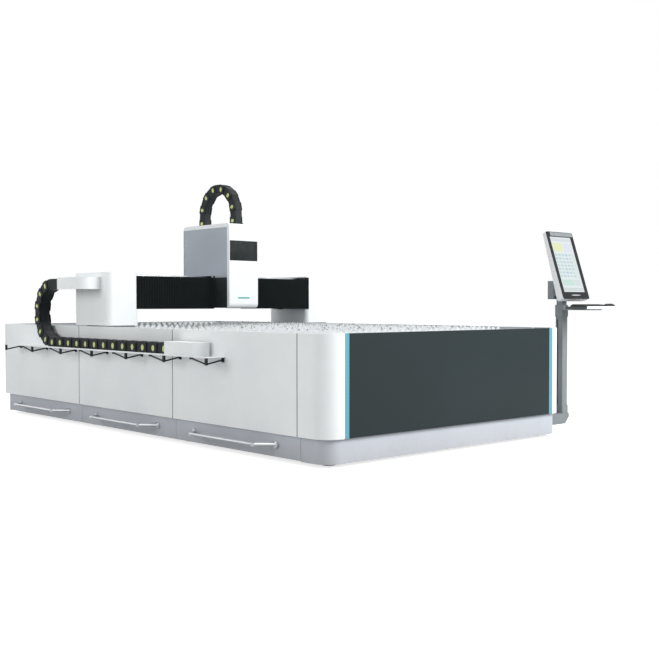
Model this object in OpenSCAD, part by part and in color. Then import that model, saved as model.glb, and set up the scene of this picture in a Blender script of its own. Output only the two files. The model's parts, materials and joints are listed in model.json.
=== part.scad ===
// Open flat-bed fibre laser cutting machine, millimetres, Z up, front towards -Y.

/* [Bed] */
// length of the bed covers along Y
bed_length = 4600; // [4400:10:4900]
// width of the bed covers along X
bed_width = 2510; // [2490:5:2560]
// top of the bed covers above the floor
skin_top = 848; // [838:1:852]
// top of the plinth above the floor
plinth_top = 182; // [178:1:200]
// gap between the skirt and the floor
floor_gap = 22; // [10:1:28]
// thickness of the cover sheets
sheet = 3; // [2:0.5:4]
// radius of the front corner covers
corner_radius = 150; // [120:5:155]
// how far the plinth stands back from the covers
plinth_inset = 30; // [20:1:40]
// length of one side panel
panel_pitch = 1433; // [1400:1:1440]
// seam between neighbouring covers
seam_gap = 3; // [2:0.5:5]
// joint between a light strip and the corner cover
corner_joint = 10; // [6:1:14]
// width of a front light strip
light_strip_width = 39; // [20:1:39]
// top of the bed beams
beam_seat = 790; // [780:1:792]

/* [Table] */
// distance between slats
slat_pitch = 90; // [80:1:110]
// thickness of a slat
slat_thickness = 4; // [3:0.5:6]
// height of the slat tips above the floor
slat_tip = 862; // [855:1:870]
// height of a slat
slat_height = 100; // [80:1:110]
// distance between two tips on a slat
tooth_pitch = 60; // [50:1:80]
// depth of the slat teeth
tooth_depth = 36; // [20:1:45]

/* [Gantry] */
// middle of the gantry columns along Y at rest
gantry_y = 700; // [600:10:800]
// how far the columns stand in from the bed's sides
column_inset = 35; // [25:1:40]
// width of a column
column_width = 295; // [285:1:310]
// depth of a column along Y
column_depth = 580; // [570:1:600]
// underside of the column covers
column_bottom = 856; // [854:1:870]
// top of the column covers
column_top = 1297; // [1292:1:1320]
// edge radius of the column covers
column_radius = 45; // [20:1:60]
// underside of the gantry beam
gantry_beam_bottom = 1000; // [995:1:1005]
// height of the gantry beam
gantry_beam_height = 262; // [255:1:265]
// number of folds in one bellows
bellows_folds = 34; // [20:1:44]

/* [Cutting head] */
// width of the head cover
head_width = 314; // [308:1:330]
// front face of the head cover ahead of the gantry middle
head_front = 512; // [500:1:525]
// rear face of the head cover behind the gantry middle
head_rear = 199; // [190:1:220]
// underside of the head cover
head_bottom = 997; // [990:1:1000]
// top of the head cover
head_top = 1742; // [1700:1:1760]
// edge radius of the head cover
head_radius = 42; // [20:1:50]
// width of the white rim in front of and above the grey head sides
head_rim = 34; // [20:1:40]
// lower edge of the head window
window_bottom = 1415; // [1400:1:1430]
// height of the head window
window_height = 176; // [150:1:190]
// outer diameter of the nozzle holder
nozzle_holder_d = 56; // [48:1:60]

/* [Drive] */
// module of racks and pinions
gear_module = 4; // [4:0.5:4]
// teeth on a gantry pinion
gantry_teeth = 20; // [18:1:20]
// teeth on the carriage pinion
carriage_teeth = 15; // [14:1:16]
// diameter of the Z ball screw
screw_d = 16; // [14:1:18]
// running clearance on each side of a shaft
run_fit = 0.05; // [0.03:0.01:0.1]

/* [Cable chains] */
// width of the gantry chain
chain_width = 110; // [100:1:114]
// height of the gantry chain
chain_height = 87; // [80:1:90]
// bend radius at the middle of the gantry chain
chain_radius = 250; // [245:1:252]
// pitch of the chain links
link_pitch = 73; // [60:1:80]
// depth of the groove between links
link_groove = 4; // [2:0.5:6]
// floor of the chain tray above the ground
tray_floor = 664; // [655:1:670]
// how far the tray stands out from the bed
tray_reach = 157; // [155:1:170]
// outer radius of the head cable loop
loop_radius = 276; // [270:1:285]
// section of the head cable loop
loop_section = 80; // [60:1:84]

/* [Scrap drawers] */
// depth of a drawer along X
drawer_depth = 1900; // [1600:10:1950]
// height of a drawer box
drawer_height = 120; // [90:1:125]
// length of a drawer handle between its feet
handle_length = 960; // [700:5:1000]
// how far a handle stands out from its drawer
handle_reach = 115; // [80:1:130]
// diameter of a drawer handle
handle_d = 24; // [18:1:28]

/* [Console] */
// how far the console pole stands out from the bed's side
pole_reach = 245; // [235:1:280]
// console pole from the front end of the bed
pole_back = 200; // [195:1:220]
// width of the square pole
pole_size = 70; // [60:1:76]
// top of the pole
pole_top = 930; // [900:5:960]
// width of the monitor
monitor_width = 360; // [320:5:400]
// height of the monitor along its face
monitor_height = 572; // [520:1:580]
// thickness of the monitor at its foot
monitor_depth = 60; // [50:1:62]
// thickness of the monitor at its top
monitor_top_depth = 30; // [24:1:40]
// width of the black frame beside the screen
bezel_side = 36; // [20:1:44]
// height of the black frame below the screen
bezel_foot = 58; // [40:1:64]
// height of the frame above the screen
bezel_top = 42; // [24:1:48]
// tilt of the monitor at rest
monitor_tilt = 18; // [10:1:20]
// width of the keyboard tray
key_tray_width = 500; // [490:1:560]
// how far the keyboard tray stands to the right of the pole
key_tray_shift = 87; // [60:1:100]
// depth of the keyboard tray
key_tray_depth = 200; // [190:1:230]

/* [Exhaust] */
// outer diameter of the exhaust collar
exhaust_d = 250; // [200:5:300]
// length of the exhaust collar
exhaust_length = 60; // [40:1:100]

/* [Hidden] */
$fn = 64;
hw = bed_width / 2;
front_panel_half = hw - corner_radius - light_strip_width - corner_joint;
pole_x = hw + pole_reach;
hl = bed_length / 2;
front_y = -hl;
seam3 = front_y + 277;
side_pitch = max(panel_pitch, (bed_length - 301) / 3);
seam2 = seam3 + side_pitch;
seam1 = seam2 + side_pitch;
seam0 = seam1 + side_pitch;
seams = [seam3, seam2, seam1, min(seam0, hl - 20)];
flange = 30;
skin_bottom = plinth_top + 2;
px = hw - plinth_inset;
py = hl - plinth_inset;
beam_out = hw - 52;
beam_in = hw - 295;
beam_height = 230;
post_x = hw - 175;
post_size = 140;
post_lines = [-hl + 170, seam2, seam1, hl - 170];
post_foot = 60;
runner_top = floor_gap + 18;
cross_top = slat_tip - slat_height - 42;
slat_run = bed_length - 1360;
rail_x = hw - 115;
rail_w = 23;
rail_h = 24;
plate_z = beam_seat + 36;
plate_t = 20;
pinion_r = gear_module * gantry_teeth / 2;
rack_line = hw - 201;
pinion_x = rack_line - pinion_r;
pinion_y = gantry_y + 200;
gear_pitch = PI * gear_module;
travel_front = 2050;
travel_rear = 1000;
column_outer = hw - column_inset;
col_in = column_outer - column_width;
col_f = gantry_y - column_depth / 2;
col_b = gantry_y + column_depth / 2;
gb_f = gantry_y - 200;
gb_b = gantry_y + 100;
gb_top = gantry_beam_bottom + gantry_beam_height;
bel_f = gb_f - 83;
bel_d = 20;
bel_end = col_in + 70;
plate_f = gb_f - 60;
plate_b = gb_f - 36;
side_half = head_width / 2 - 6;
hf = gantry_y - head_front;
hr = gantry_y + head_rear;
head_step = gb_f - 92;
saddle_z = gb_top + 28;
c_rack_y = gb_f + 93;
c_pinion_r = gear_module * carriage_teeth / 2;
c_pinion_y = c_rack_y + c_pinion_r;
z_screw_y = plate_f - 12;
head_y = gantry_y - 410;
tip_z = head_bottom + 5;
chain_in = hw + 25;
chain_out = chain_in + chain_width;
chain_z = tray_floor + 0.6;
chain_ro = chain_radius + chain_height / 2;
chain_ri = chain_radius - chain_height / 2;
bend_y = gantry_y + 406;
bend_z = chain_z + chain_ro;
chain_start = gantry_y - 1460;
tray_f = chain_start - 490;
tray_b = bend_y + chain_ro + travel_rear / 2 + 75;
bracket_f = gantry_y - 170;
bracket_b = gantry_y + 255;
loop_y = gantry_y - 164;
loop_leg = 95;
loop_z = head_top + loop_leg;
bc_f = gb_b + 34;
bc_w = 60;
bc_h = 50;
bc_r = 90;
bc_x = 400;
bc_z = gb_top - 2 * bc_r - 10;
cy = front_y + pole_back;
stub_z = 105;
elbow = 84;
elbow_top = 213;
mon_y = cy - 143;
mon_z = pole_top + 143;
tilt_y = cy + 6;
tilt_z = pole_top + 262;
tray_top = pole_top + 65;
key_x = pole_x + key_tray_shift;
key_f = cy - 350;

// box between two corners
module box(a, b) {
  translate(a) cube([b[0] - a[0], b[1] - a[1], b[2] - a[2]]);
}

// tube along X or Y with square section
module tube_y(a, b, t) {
  difference() {
    box(a, b);
    box([a[0] + t, a[1] - 1, a[2] + t], [b[0] - t, b[1] + 1, b[2] - t]);
  }
}

module tube_x(a, b, t) {
  difference() {
    box(a, b);
    box([a[0] - 1, a[1] + t, a[2] + t], [b[0] + 1, b[1] - t, b[2] - t]);
  }
}

// round bar between two points
module rod(p, q, r) {
  d = q - p;
  h = norm(d);
  translate(p)
    rotate([0, acos(d[2] / h), atan2(d[1], d[0])])
      cylinder(r = r, h = h, $fn = 24);
}

// both sides of the machine
module both_sides() {
  children();
  mirror([1, 0, 0]) children();
}

// block with rounded vertical edges
module round_box(a, b, r) {
  union() {
    box([a[0] + r, a[1], a[2]], [b[0] - r, b[1], b[2]]);
    box([a[0], a[1] + r, a[2]], [b[0], b[1] - r, b[2]]);
    for (x = [a[0] + r, b[0] - r])
      for (y = [a[1] + r, b[1] - r])
        translate([x, y, a[2]]) cylinder(r = r, h = b[2] - a[2]);
  }
}

// profile of a linear rail, seat at v = 0
module rail_profile(g) {
  w = rail_w / 2 + g;
  n = rail_w / 2 - 3 + g;
  polygon([[-w, 0], [-w, 8], [-n, 12], [-n, 15], [-w, 18], [-w, rail_h + g], [w, rail_h + g],
    [w, 18], [n, 15], [n, 12], [w, 8], [w, 0]]);
}

// bearing block that runs on the rail, along the extrusion
module block_profile() {
  difference() {
    translate([-35, 6]) square([70, 30]);
    translate([0, -0.01]) rail_profile(0.5);
  }
}

// points of one spur gear
function gear_half(r, rb, half) =
  let (t = sqrt(max((r / rb) * (r / rb) - 1, 0)))
  half + tan(20) * 180 / PI - 20 - (t * 180 / PI - atan(t));

function gear_points(z, m, play) =
  let (rp = z * m / 2, rb = rp * cos(20), ra = rp + m, rf = rp - 1.25 * m)
  let (half = 90 / z - play / rp * 90 / PI)
  [for (i = [0 : z - 1]) let (c = i * 360 / z)
    for (k = [0 : 9])
      let (j = k < 5 ? k : 9 - k)
      let (s = k < 5 ? -1 : 1)
      let (r = j == 0 ? rf : max(rb, rf) + (ra - max(rb, rf)) * (j - 1) / 3)
      let (a = c + s * gear_half(max(r, rb), rb, half))
      [r * cos(a), r * sin(a)]];

module gear_2d(z) {
  polygon(gear_points(z, gear_module, 0.3));
}

// rack, teeth towards +v with the pitch line at v = 0, gap at u = 0
function rack_points(n0, n1) =
  let (m = gear_module, p = gear_pitch, h = p / 4 - 0.15)
  let (top = h - m * tan(20), low = h + 1.25 * m * tan(20))
  [for (i = [n0 : n1]) let (c = (i + 0.5) * p)
    for (q = [[c - low, -1.25 * m], [c - top, m], [c + top, m], [c + low, -1.25 * m]]) q];

module rack_2d(n0, n1, depth) {
  polygon(concat([[n0 * gear_pitch, -depth]], [[n0 * gear_pitch, -1.25 * gear_module]],
    rack_points(n0, n1),
    [[(n1 + 1) * gear_pitch, -1.25 * gear_module]], [[(n1 + 1) * gear_pitch, -depth]]));
}

module bed_beams() {
  color("#5E6468") both_sides() union() {
    tube_y([-beam_out, -hl + 100, beam_seat - beam_height], [-beam_in, hl - 100, beam_seat], 12);
    for (i = [0 : 2])
      box([-hw + sheet, seams[i] + flange, beam_seat - 180],
        [-beam_out + 1, min(seams[i + 1], hl - 80) - flange, beam_seat - 140]);
  }
}

module bed_cross_beams() {
  w = front_panel_half - 156;
  color("#666C70") {
    for (y = post_lines)
      tube_x([-beam_in, y - 60, cross_top - 160], [beam_in, y + 60, cross_top], 6);
    for (y = post_lines) {
      tube_x([-post_x + post_size / 2, y - 50, runner_top + 0.3], [post_x - post_size / 2, y + 50, 120], 6);
      box([-post_x + post_size / 2, max(y - 160, -py + 30), runner_top - 8],
        [post_x - post_size / 2, min(y + 160, py - 30), runner_top]);
    }
    box([-w, -hl + sheet, cross_top - 100], [w, post_lines[0] - 59, cross_top - 60]);
    box([-w, post_lines[3] + 59, cross_top - 100], [w, hl - sheet, cross_top - 60]);
  }
}

module bed_posts() {
  s = post_size / 2;
  color("#5E6468") for (m = [-1, 1]) for (y = post_lines)
    difference() {
      union() {
        box([m * post_x - s, y - s, post_foot], [m * post_x + s, y + s, beam_seat - beam_height]);
        if (y < -1000) box([m * post_x - 20, -py + sheet, 90], [m * post_x + 20, y, 130]);
        if (y > 1000) box([m * post_x - 20, y, 90], [m * post_x + 20, py - sheet, 130]);
        if (m > 0) box([post_x, y - 25, 90], [px - sheet, y + 25, 130]);
      }
      box([m * post_x - s + 8, y - s + 8, post_foot + 12],
        [m * post_x + s - 8, y + s - 8, beam_seat - beam_height + 1]);
    }
}

module levelling_feet() {
  color("#3A3D40") both_sides() for (y = post_lines)
    translate([-post_x, y, 0])
      rotate_extrude()
        polygon([[0, 0], [45, 0], [45, 12], [20, 22], [12, 22], [12, post_foot - 14],
          [18, post_foot - 14], [18, post_foot], [0, post_foot]]);
}

module guide_rails() {
  color("#B9BEC2") both_sides()
    translate([-rail_x, hl - 120, beam_seat])
      rotate([90, 0, 0]) linear_extrude(2 * hl - 240) rail_profile(0);
}

module gear_racks() {
  n0 = -floor((travel_front + 100) / gear_pitch);
  n1 = floor((travel_rear + 90) / gear_pitch);
  color("#A3A8AC") both_sides()
    translate([-rack_line, pinion_y, beam_seat])
      rotate([0, 0, -90]) mirror([1, 0, 0]) linear_extrude(25) rack_2d(n0, n1, 34);
}

module slat_carriers() {
  n = floor(slat_run / slat_pitch);
  color("#7C8286") for (x = [-beam_in + 72, -300, 300, beam_in - 72])
    difference() {
      box([x - 6, -hl + 110, cross_top], [x + 6, hl - 110, cross_top + 80]);
      for (i = [0 : n])
        box([x - 7, seam3 + 73 + i * slat_pitch - slat_thickness / 2 - 0.3, slat_tip - slat_height],
          [x + 7, seam3 + 73 + i * slat_pitch + slat_thickness / 2 + 0.3, cross_top + 81]);
    }
}

module cutting_slats() {
  n = floor(slat_run / slat_pitch);
  k = floor(2 * (beam_in - 60) / tooth_pitch);
  w = k * tooth_pitch / 2;
  pts = concat([[-w, -slat_height]],
    [for (i = [0 : k - 1]) for (q = [[-w + i * tooth_pitch, -tooth_depth],
      [-w + (i + 0.5) * tooth_pitch, 0]]) q],
    [[w, -tooth_depth], [w, -slat_height]]);
  color("#8C9093") for (i = [0 : n])
    translate([0, seam3 + 73 + i * slat_pitch + slat_thickness / 2, slat_tip])
      rotate([90, 0, 0]) linear_extrude(slat_thickness) polygon(pts);
}

// folded cover, sheet at -X
module side_cover(y0, y1) {
  difference() {
    box([-hw, y0, skin_bottom], [-hw + flange, y1, skin_top]);
    box([-hw + sheet, y0 + sheet, skin_bottom + sheet], [-hw + flange + 1, y1 - sheet, skin_top - sheet]);
  }
}

module side_panels() {
  color("#EEF1F2") both_sides() for (i = [0 : 2])
    side_cover(seams[i] + seam_gap / 2, seams[i + 1] - seam_gap / 2);
}

module deck_plates() {
  y1 = seam3 + 73 + floor(slat_run / slat_pitch) * slat_pitch + 40;
  z0 = cross_top + 80;
  color("#DDE1E3") {
    box([-beam_in + 8, -hl + 115, z0], [beam_in - 8, seam3 + 40, z0 + sheet]);
    box([-beam_in + 8, y1, z0], [beam_in - 8, hl - 115, z0 + sheet]);
  }
}

// body of a left front corner, faces moved in by g
module corner_body(x0, y0, r, x1, y1, z0, z1, g, e) {
  union() {
    intersection() {
      translate([x0 + r, y0 + r, z0]) cylinder(r = r - g, h = z1 - z0);
      box([x0 - 1, y0 - 1, z0 - 1], [x0 + r, y0 + r, z1 + 1]);
    }
    box([x0 + g, y0 + r, z0], [x0 + r + e, y1 + e, z1]);
    box([x0 + r, y0 + g, z0], [x1 + e, y0 + r + e, z1]);
  }
}

module corner_sheet(x0, y0, r, x1, y1, z0, z1, t) {
  difference() {
    corner_body(x0, y0, r, x1, y1, z0, z1, 0, 0);
    corner_body(x0, y0, r, x1, y1, z0 - 1, z1 + 1, t, 1);
  }
}

module front_corners() {
  x1 = -front_panel_half - light_strip_width - 1;
  y1 = seam3 - seam_gap / 2;
  color("#F2F4F4") both_sides() union() {
    corner_sheet(-hw, -hl, corner_radius, x1, y1, skin_bottom, skin_top, sheet);
    corner_sheet(-hw, -hl, corner_radius, x1, y1, skin_top - sheet, skin_top, flange);
    box([-hw + 1, y1 - sheet, skin_bottom], [-hw + 45, y1, skin_top]);
    box([x1 - sheet, -hl + 1, skin_bottom], [x1, -hl + 45, skin_top]);
    box([-hw + 1, seam3 - 60, beam_seat - 180], [-beam_out, seam3 - 5, beam_seat - 140]);
  }
}

module front_panel() {
  w = front_panel_half;
  color("#3F4A4B") difference() {
    box([-w, -hl, skin_bottom], [w, -hl + flange, skin_top]);
    box([-w + sheet, -hl + sheet, skin_bottom + sheet], [w - sheet, -hl + flange + 1, skin_top - sheet]);
  }
}

module light_strips() {
  w = front_panel_half;
  color("#74C2D0") both_sides()
    box([-w - light_strip_width - 0.5, -hl + 1, skin_bottom], [-w - 0.5, -hl + 21, skin_top]);
}

module rear_panel() {
  y0 = seams[3] + seam_gap / 2;
  color("#E4E7E8") difference() {
    union() {
      difference() {
        box([-hw, y0, skin_bottom], [hw, hl, skin_top]);
        box([-hw + sheet, y0 - 1, skin_bottom + sheet], [hw - sheet, hl - sheet, skin_top - sheet]);
      }
      translate([0, hl + exhaust_length, 400]) rotate([90, 0, 0])
        cylinder(d = exhaust_d, h = exhaust_length + sheet / 2, $fn = 96);
    }
    translate([0, hl + exhaust_length + 1, 400]) rotate([90, 0, 0])
      cylinder(d = exhaust_d - 6, h = exhaust_length + 60, $fn = 96);
  }
}

module skirts() {
  r = corner_radius - plinth_inset;
  y1 = seam3 - seam_gap / 2;
  yr = seams[3] - plinth_inset + seam_gap / 2;
  zt = plinth_top - 1;
  color("#C9CDD6") {
    union() {
      both_sides() corner_sheet(-px, -py, r, -px + r + 10, y1, floor_gap, zt, sheet);
      box([-px + r + 5, -py, floor_gap], [px - r - 5, -py + sheet, zt]);
    }
    difference() {
      box([px - flange, seam3 + seam_gap / 2, floor_gap], [px, yr - seam_gap, zt]);
      box([px - flange - 1, seam3 + 10, floor_gap + sheet], [px - sheet, yr - 10, zt - sheet]);
    }
    difference() {
      box([-px, yr, floor_gap], [px, py, zt]);
      box([-px + sheet, yr - 1, floor_gap - 1], [px - sheet, py - sheet, zt + 1]);
    }
  }
}

module chain_tray() {
  y0 = tray_f;
  y1 = tray_b;
  color("#F2F4F4") difference() {
    box([-hw - tray_reach, y0, tray_floor - sheet], [-hw, y1, tray_floor + 26]);
    box([-hw - tray_reach + sheet, y0 - 1, tray_floor], [-hw - sheet, y1 + 1, tray_floor + 27]);
    box([-hw - tray_reach - 1, y0 - 1, tray_floor + 9], [-hw - 20, y1 + 1, tray_floor + 27]);
  }
}

module tray_brackets() {
  z1 = tray_floor - sheet;
  z0 = z1 - 42;
  x = -hw - tray_reach + 12;
  pitch = (tray_b - tray_f - 40) / 6;
  color("#2E3234") for (i = [0 : 6])
    translate([0, tray_b - 20 - i * pitch, 0]) union() {
      box([x - 8, -9, z0 - 7], [x + 8, 9, z1]);
      rod([x, 0, z0], [-hw - 5, 0, z1 - 17], 6);
      box([-hw - 9, -12, z1 - 34], [-hw, 12, z1 - 1]);
      if (i > 0) {
        rod([x, 0, z0], [x, 180, z1 - 7], 6);
        box([x - 7, 170, z1 - 14], [x + 7, 195, z1]);
      }
    }
}

module chain_end_cover() {
  y0 = chain_start - 330;
  y1 = chain_start + 60;
  z1 = tray_floor + chain_height + 12;
  x0 = -chain_out - 8;
  x1 = -chain_in + 8;
  r = 110;
  color("#F2F4F4") difference() {
    union() {
      box([x0, y0 + r, tray_floor], [x1, y1, z1]);
      box([x0 + r, y0, tray_floor], [x1, y0 + r + 1, z1]);
      intersection() {
        translate([x0 + r, y0 + r, tray_floor]) cylinder(r = r, h = z1 - tray_floor);
        box([x0 - 1, y0 - 1, tray_floor - 1], [x0 + r + 1, y0 + r + 1, z1 + 1]);
      }
    }
    box([x0 + sheet, y0 + r, tray_floor - 1], [x1 - sheet, y1 + 1, z1 - sheet]);
    box([x0 + r, y0 + sheet, tray_floor - 1], [x1 - sheet, y0 + r + 1, z1 - sheet]);
    intersection() {
      translate([x0 + r, y0 + r, tray_floor - 1]) cylinder(r = r - sheet, h = z1 - sheet - tray_floor + 1);
      box([x0 - 1, y0 - 1, tray_floor - 2], [x0 + r + 1, y0 + r + 1, z1]);
    }
  }
}

// straight run of chain links along Y
module chain_run(y0, y1, z0) {
  n = floor((y1 - y0) / link_pitch);
  g = link_groove;
  union() {
    box([-chain_out + g, y0, z0 + g], [-chain_in - g, y1, z0 + chain_height - g]);
    for (i = [0 : n - 1])
      box([-chain_out, y1 - (i + 1) * link_pitch + 2, z0], [-chain_in, y1 - i * link_pitch - 2, z0 + chain_height]);
  }
}

module gantry_chain_lower() {
  color("#23272B") union() {
    chain_run(chain_start, bend_y - 0.4, chain_z);
    box([-chain_out + 20, chain_start - 60, tray_floor], [-chain_in - 20, chain_start + 20, chain_z + 50]);
  }
}

module gantry_chain_loop() {
  n = round(PI * chain_radius / link_pitch);
  g = link_groove;
  color("#23272B") translate([0, bend_y, bend_z]) union() {
    difference() {
      translate([-chain_out + g, 0, 0]) rotate([0, 90, 0])
        cylinder(r = chain_ro - 9, h = chain_width - 2 * g, $fn = 96);
      translate([-chain_out, 0, 0]) rotate([0, 90, 0])
        cylinder(r = chain_ri + 9, h = chain_width, $fn = 96);
      box([-chain_out - 1, -chain_ro - 1, -chain_ro - 1], [-chain_in + 1, 0, chain_ro + 1]);
    }
    for (i = [0 : n - 1])
      rotate([(i + 0.5) * 180 / n - 90, 0, 0])
        box([-chain_out, chain_ri + 2, -28], [-chain_in, chain_ro - 4, 28]);
  }
}

module gantry_chain_upper() {
  z0 = bend_z + chain_ri;
  color("#23272B") union() {
    chain_run(bracket_f + 70, bend_y - 0.4, z0);
    box([-chain_out + 58, bracket_f + 64, z0 + 10], [-chain_in - 10, bracket_f + 80, z0 + chain_height - 10]);
  }
}

module chain_bracket() {
  x0 = -chain_out - 6;
  z1 = bend_z + chain_ro + 6;
  z0 = z1 - 100;
  r = 70;
  color("#F2F4F4") difference() {
    union() {
      box([x0, bracket_f + r, z0], [-column_outer, bracket_b, z1]);
      box([x0 + r, bracket_f, z0], [-column_outer, bracket_f + r + 1, z1]);
      translate([x0 + r, bracket_f + r, z0]) cylinder(r = r, h = z1 - z0);
    }
    difference() {
      union() {
        box([x0 + 4, bracket_f + r, z0 - 1], [-column_outer - 4, bracket_b + 1, z1 - 4]);
        box([x0 + r, bracket_f + 4, z0 - 1], [-column_outer - 4, bracket_f + r + 1, z1 - 4]);
        translate([x0 + r, bracket_f + r, z0 - 1]) cylinder(r = r - 4, h = z1 - z0 - 3);
      }
      box([x0, bracket_f + 60, z0 - 2], [-column_outer, bracket_f + 64, z1]);
    }
  }
}

module console_elbow() {
  e = elbow / 2;
  color("#8A8F92") union() {
    difference() {
      box([px, cy - 48, stub_z - e], [pole_x + e, cy + 48, stub_z + e]);
      translate([pole_x + e, cy - 60, stub_z - e - 30]) rotate([0, -45, 0]) box([-80, 0, -80], [80, 120, 58]);
    }
    round_box([pole_x - e, cy - e, stub_z + e - 20], [pole_x + e, cy + e, elbow_top], 12);
  }
}

module console_pole() {
  s = pole_size / 2;
  color("#85898B") union() {
    difference() {
      round_box([pole_x - s, cy - s, elbow_top], [pole_x + s, cy + s, pole_top], 6);
      box([pole_x - s - 1, cy + 8, elbow_top - 1], [pole_x - s + 12, cy + 22, pole_top - 20]);
    }
    translate([pole_x, cy, pole_top - 1]) cylinder(r = 20, h = 61);
  }
}

// open-topped drawer between two post lines
module drawer(y0, y1, b0, b1) {
  z0 = runner_top;
  difference() {
    union() {
      box([-px, y0, floor_gap + 4], [-px + sheet, y1, plinth_top - 4]);
      box([-px + 1, b0, z0], [-px + drawer_depth, b1, z0 + drawer_height]);
    }
    box([-px + sheet, b0 + sheet, z0 + sheet], [-px + drawer_depth - sheet, b1 - sheet, z0 + drawer_height + 1]);
  }
}

module scrap_drawer_front() {
  color("#C9CDD6")
    drawer(seam3 + seam_gap / 2, seam2 - seam_gap / 2, post_lines[0] + 110, seam2 - 90);
}

module scrap_drawer_middle() {
  color("#C9CDD6")
    drawer(seam2 + seam_gap / 2, seam1 - seam_gap / 2, seam2 + 90, seam1 - 90);
}

module scrap_drawer_rear() {
  color("#C9CDD6")
    drawer(seam1 + seam_gap / 2, seams[3] - plinth_inset - seam_gap / 2, seam1 + 90, post_lines[3] - 110);
}

// bar handle on the drawer front
module handle(y) {
  r = handle_d / 2;
  h = handle_length / 2;
  z = (plinth_top + floor_gap) / 2 + 6;
  x = -px - handle_reach;
  k = h - handle_reach;
  color("#D5D8DA") union() {
    translate([x, y - k, z]) rotate([-90, 0, 0]) cylinder(r = r, h = 2 * k, $fn = 32);
    for (s = [-1, 1]) {
      translate([x, y + s * k, z - r - 1]) cylinder(r = r + 1.5, h = 2 * r + 2, $fn = 32);
      intersection() {
        rod([x, y + s * k, z], [-px + 30, y + s * (h + 30), z], r);
        box([x - 30, y - h - 60, z - 40], [-px - 4, y + h + 60, z + 40]);
      }
      translate([-px - 14, y + s * (h - 8), z]) rotate([0, 90, 0]) cylinder(r = r + 12, h = 14, $fn = 32);
    }
  }
}

module drawer_handle_front() {
  handle((seam3 + seam2) / 2);
}

module drawer_handle_middle() {
  handle((seam2 + seam1) / 2);
}

module drawer_handle_rear() {
  handle((seam1 + seams[3]) / 2 - 15);
}

module gantry_legs() {
  color("#6E7478") both_sides() difference() {
    union() {
      box([-column_outer + 20, col_f + 20, plate_z], [-col_in - 25, col_b - 20, plate_z + plate_t]);
      tube_y([-column_outer + 20, gb_f - 60, plate_z + plate_t - 1], [-col_in - 25, gb_b, gantry_beam_bottom], 12);
      box([-bel_end - 10, bel_f - 2, gantry_beam_bottom - 12], [-bel_end, gb_f, gb_top]);
      box([-column_outer + sheet, gb_f, gantry_beam_bottom - 90],
        [-column_outer + 21, gb_b - 60, gantry_beam_bottom - 40]);
    }
    translate([-pinion_x, pinion_y, plate_z - 1]) cylinder(r = 25, h = plate_t + 2);
  }
}

module gantry_blocks() {
  color("#8F9498") both_sides() for (s = [-1, 1])
    translate([-rail_x, gantry_y + s * 180 + 55, beam_seat])
      rotate([90, 0, 0]) linear_extrude(110) block_profile();
}

module gantry_beam() {
  color("#7A8084")
    tube_x([-column_outer + 20, gb_f, gantry_beam_bottom], [column_outer - 20, gb_b, gb_top], 10);
}

module beam_guides() {
  n = floor((bel_end - 35) / gear_pitch);
  color("#B9BEC2") {
    for (z = [gantry_beam_bottom + 40, gb_top - 42])
      translate([-bel_end + 10, gb_f, z])
        rotate([90, 0, 90]) linear_extrude(2 * bel_end - 20) rotate([0, 0, 90]) rail_profile(0);
    translate([0, c_rack_y, gb_top]) linear_extrude(22) rack_2d(-n, n - 1, 33);
  }
}

module gantry_covers() {
  t = sheet;
  color("#F4F6F6") both_sides() difference() {
    round_box([-column_outer, col_f, column_bottom], [-col_in, col_b, column_top], column_radius);
    difference() {
      round_box([-column_outer + t, col_f + t, column_bottom - 1], [-col_in - t, col_b - t, column_top - t],
        column_radius - t);
    }
    box([-col_in - 2 * column_radius, bel_f - 4, head_bottom - 14], [-col_in + 1, bc_f + bc_w + 30, gb_top + 26]);
  }
}

module gantry_motors() {
  color("#33373A") both_sides() difference() {
    union() {
      box([-pinion_x - 45, pinion_y - 45, plate_z + plate_t], [-pinion_x + 45, pinion_y + 45, plate_z + plate_t + 110]);
      translate([-pinion_x, pinion_y, plate_z + plate_t + 109]) cylinder(r = 42, h = 41);
      box([-pinion_x - 40, pinion_y - 40, plate_z + plate_t + 149], [-pinion_x + 40, pinion_y + 40, plate_z + 330]);
      box([-pinion_x - 12, pinion_y - 62, plate_z + 290], [-pinion_x + 12, pinion_y - 39, plate_z + 316]);
    }
    translate([-pinion_x, pinion_y, plate_z + plate_t - 1]) cylinder(r = 12 + run_fit, h = 61);
  }
}

module pinion_body(z, w, zb, zt) {
  union() {
    translate([0, 0, zb]) linear_extrude(w) gear_2d(z);
    translate([0, 0, zb]) cylinder(r = 12, h = zt - zb);
  }
}

module left_pinion() {
  color("#9A9FA3") translate([-pinion_x, pinion_y, 0])
    rotate([0, 0, 180]) pinion_body(gantry_teeth, 21, beam_seat + 3, plate_z + plate_t + 50);
}

module right_pinion() {
  color("#9A9FA3") translate([pinion_x, pinion_y, 0])
    pinion_body(gantry_teeth, 21, beam_seat + 3, plate_z + plate_t + 50);
}

// pleated curtain between a column and the carriage
module bellows_2d() {
  n = bellows_folds;
  a = -bel_end + 3;
  b = -side_half - 3;
  t = 1.6;
  up = [for (i = [0 : 2 * n]) [a + (b - a) * i / (2 * n), i % 2 == 0 ? bel_f + bel_d - t : bel_f]];
  dn = [for (i = [2 * n : -1 : 0]) [a + (b - a) * i / (2 * n), i % 2 == 0 ? bel_f + bel_d : bel_f + t]];
  polygon(concat(up, dn));
}

module bellows() {
  z0 = head_bottom - 5;
  z1 = gb_top + 8;
  color("#1F2222") union() {
    translate([0, 0, z0]) linear_extrude(z1 - z0) bellows_2d();
    box([-bel_end, bel_f, z0], [-bel_end + 4, bel_f + bel_d, z1]);
    box([-side_half - 4, bel_f, z0], [-side_half, bel_f + bel_d, z1]);
  }
}

module left_bellows() {
  bellows();
}

module right_bellows() {
  mirror([1, 0, 0]) bellows();
}

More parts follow.
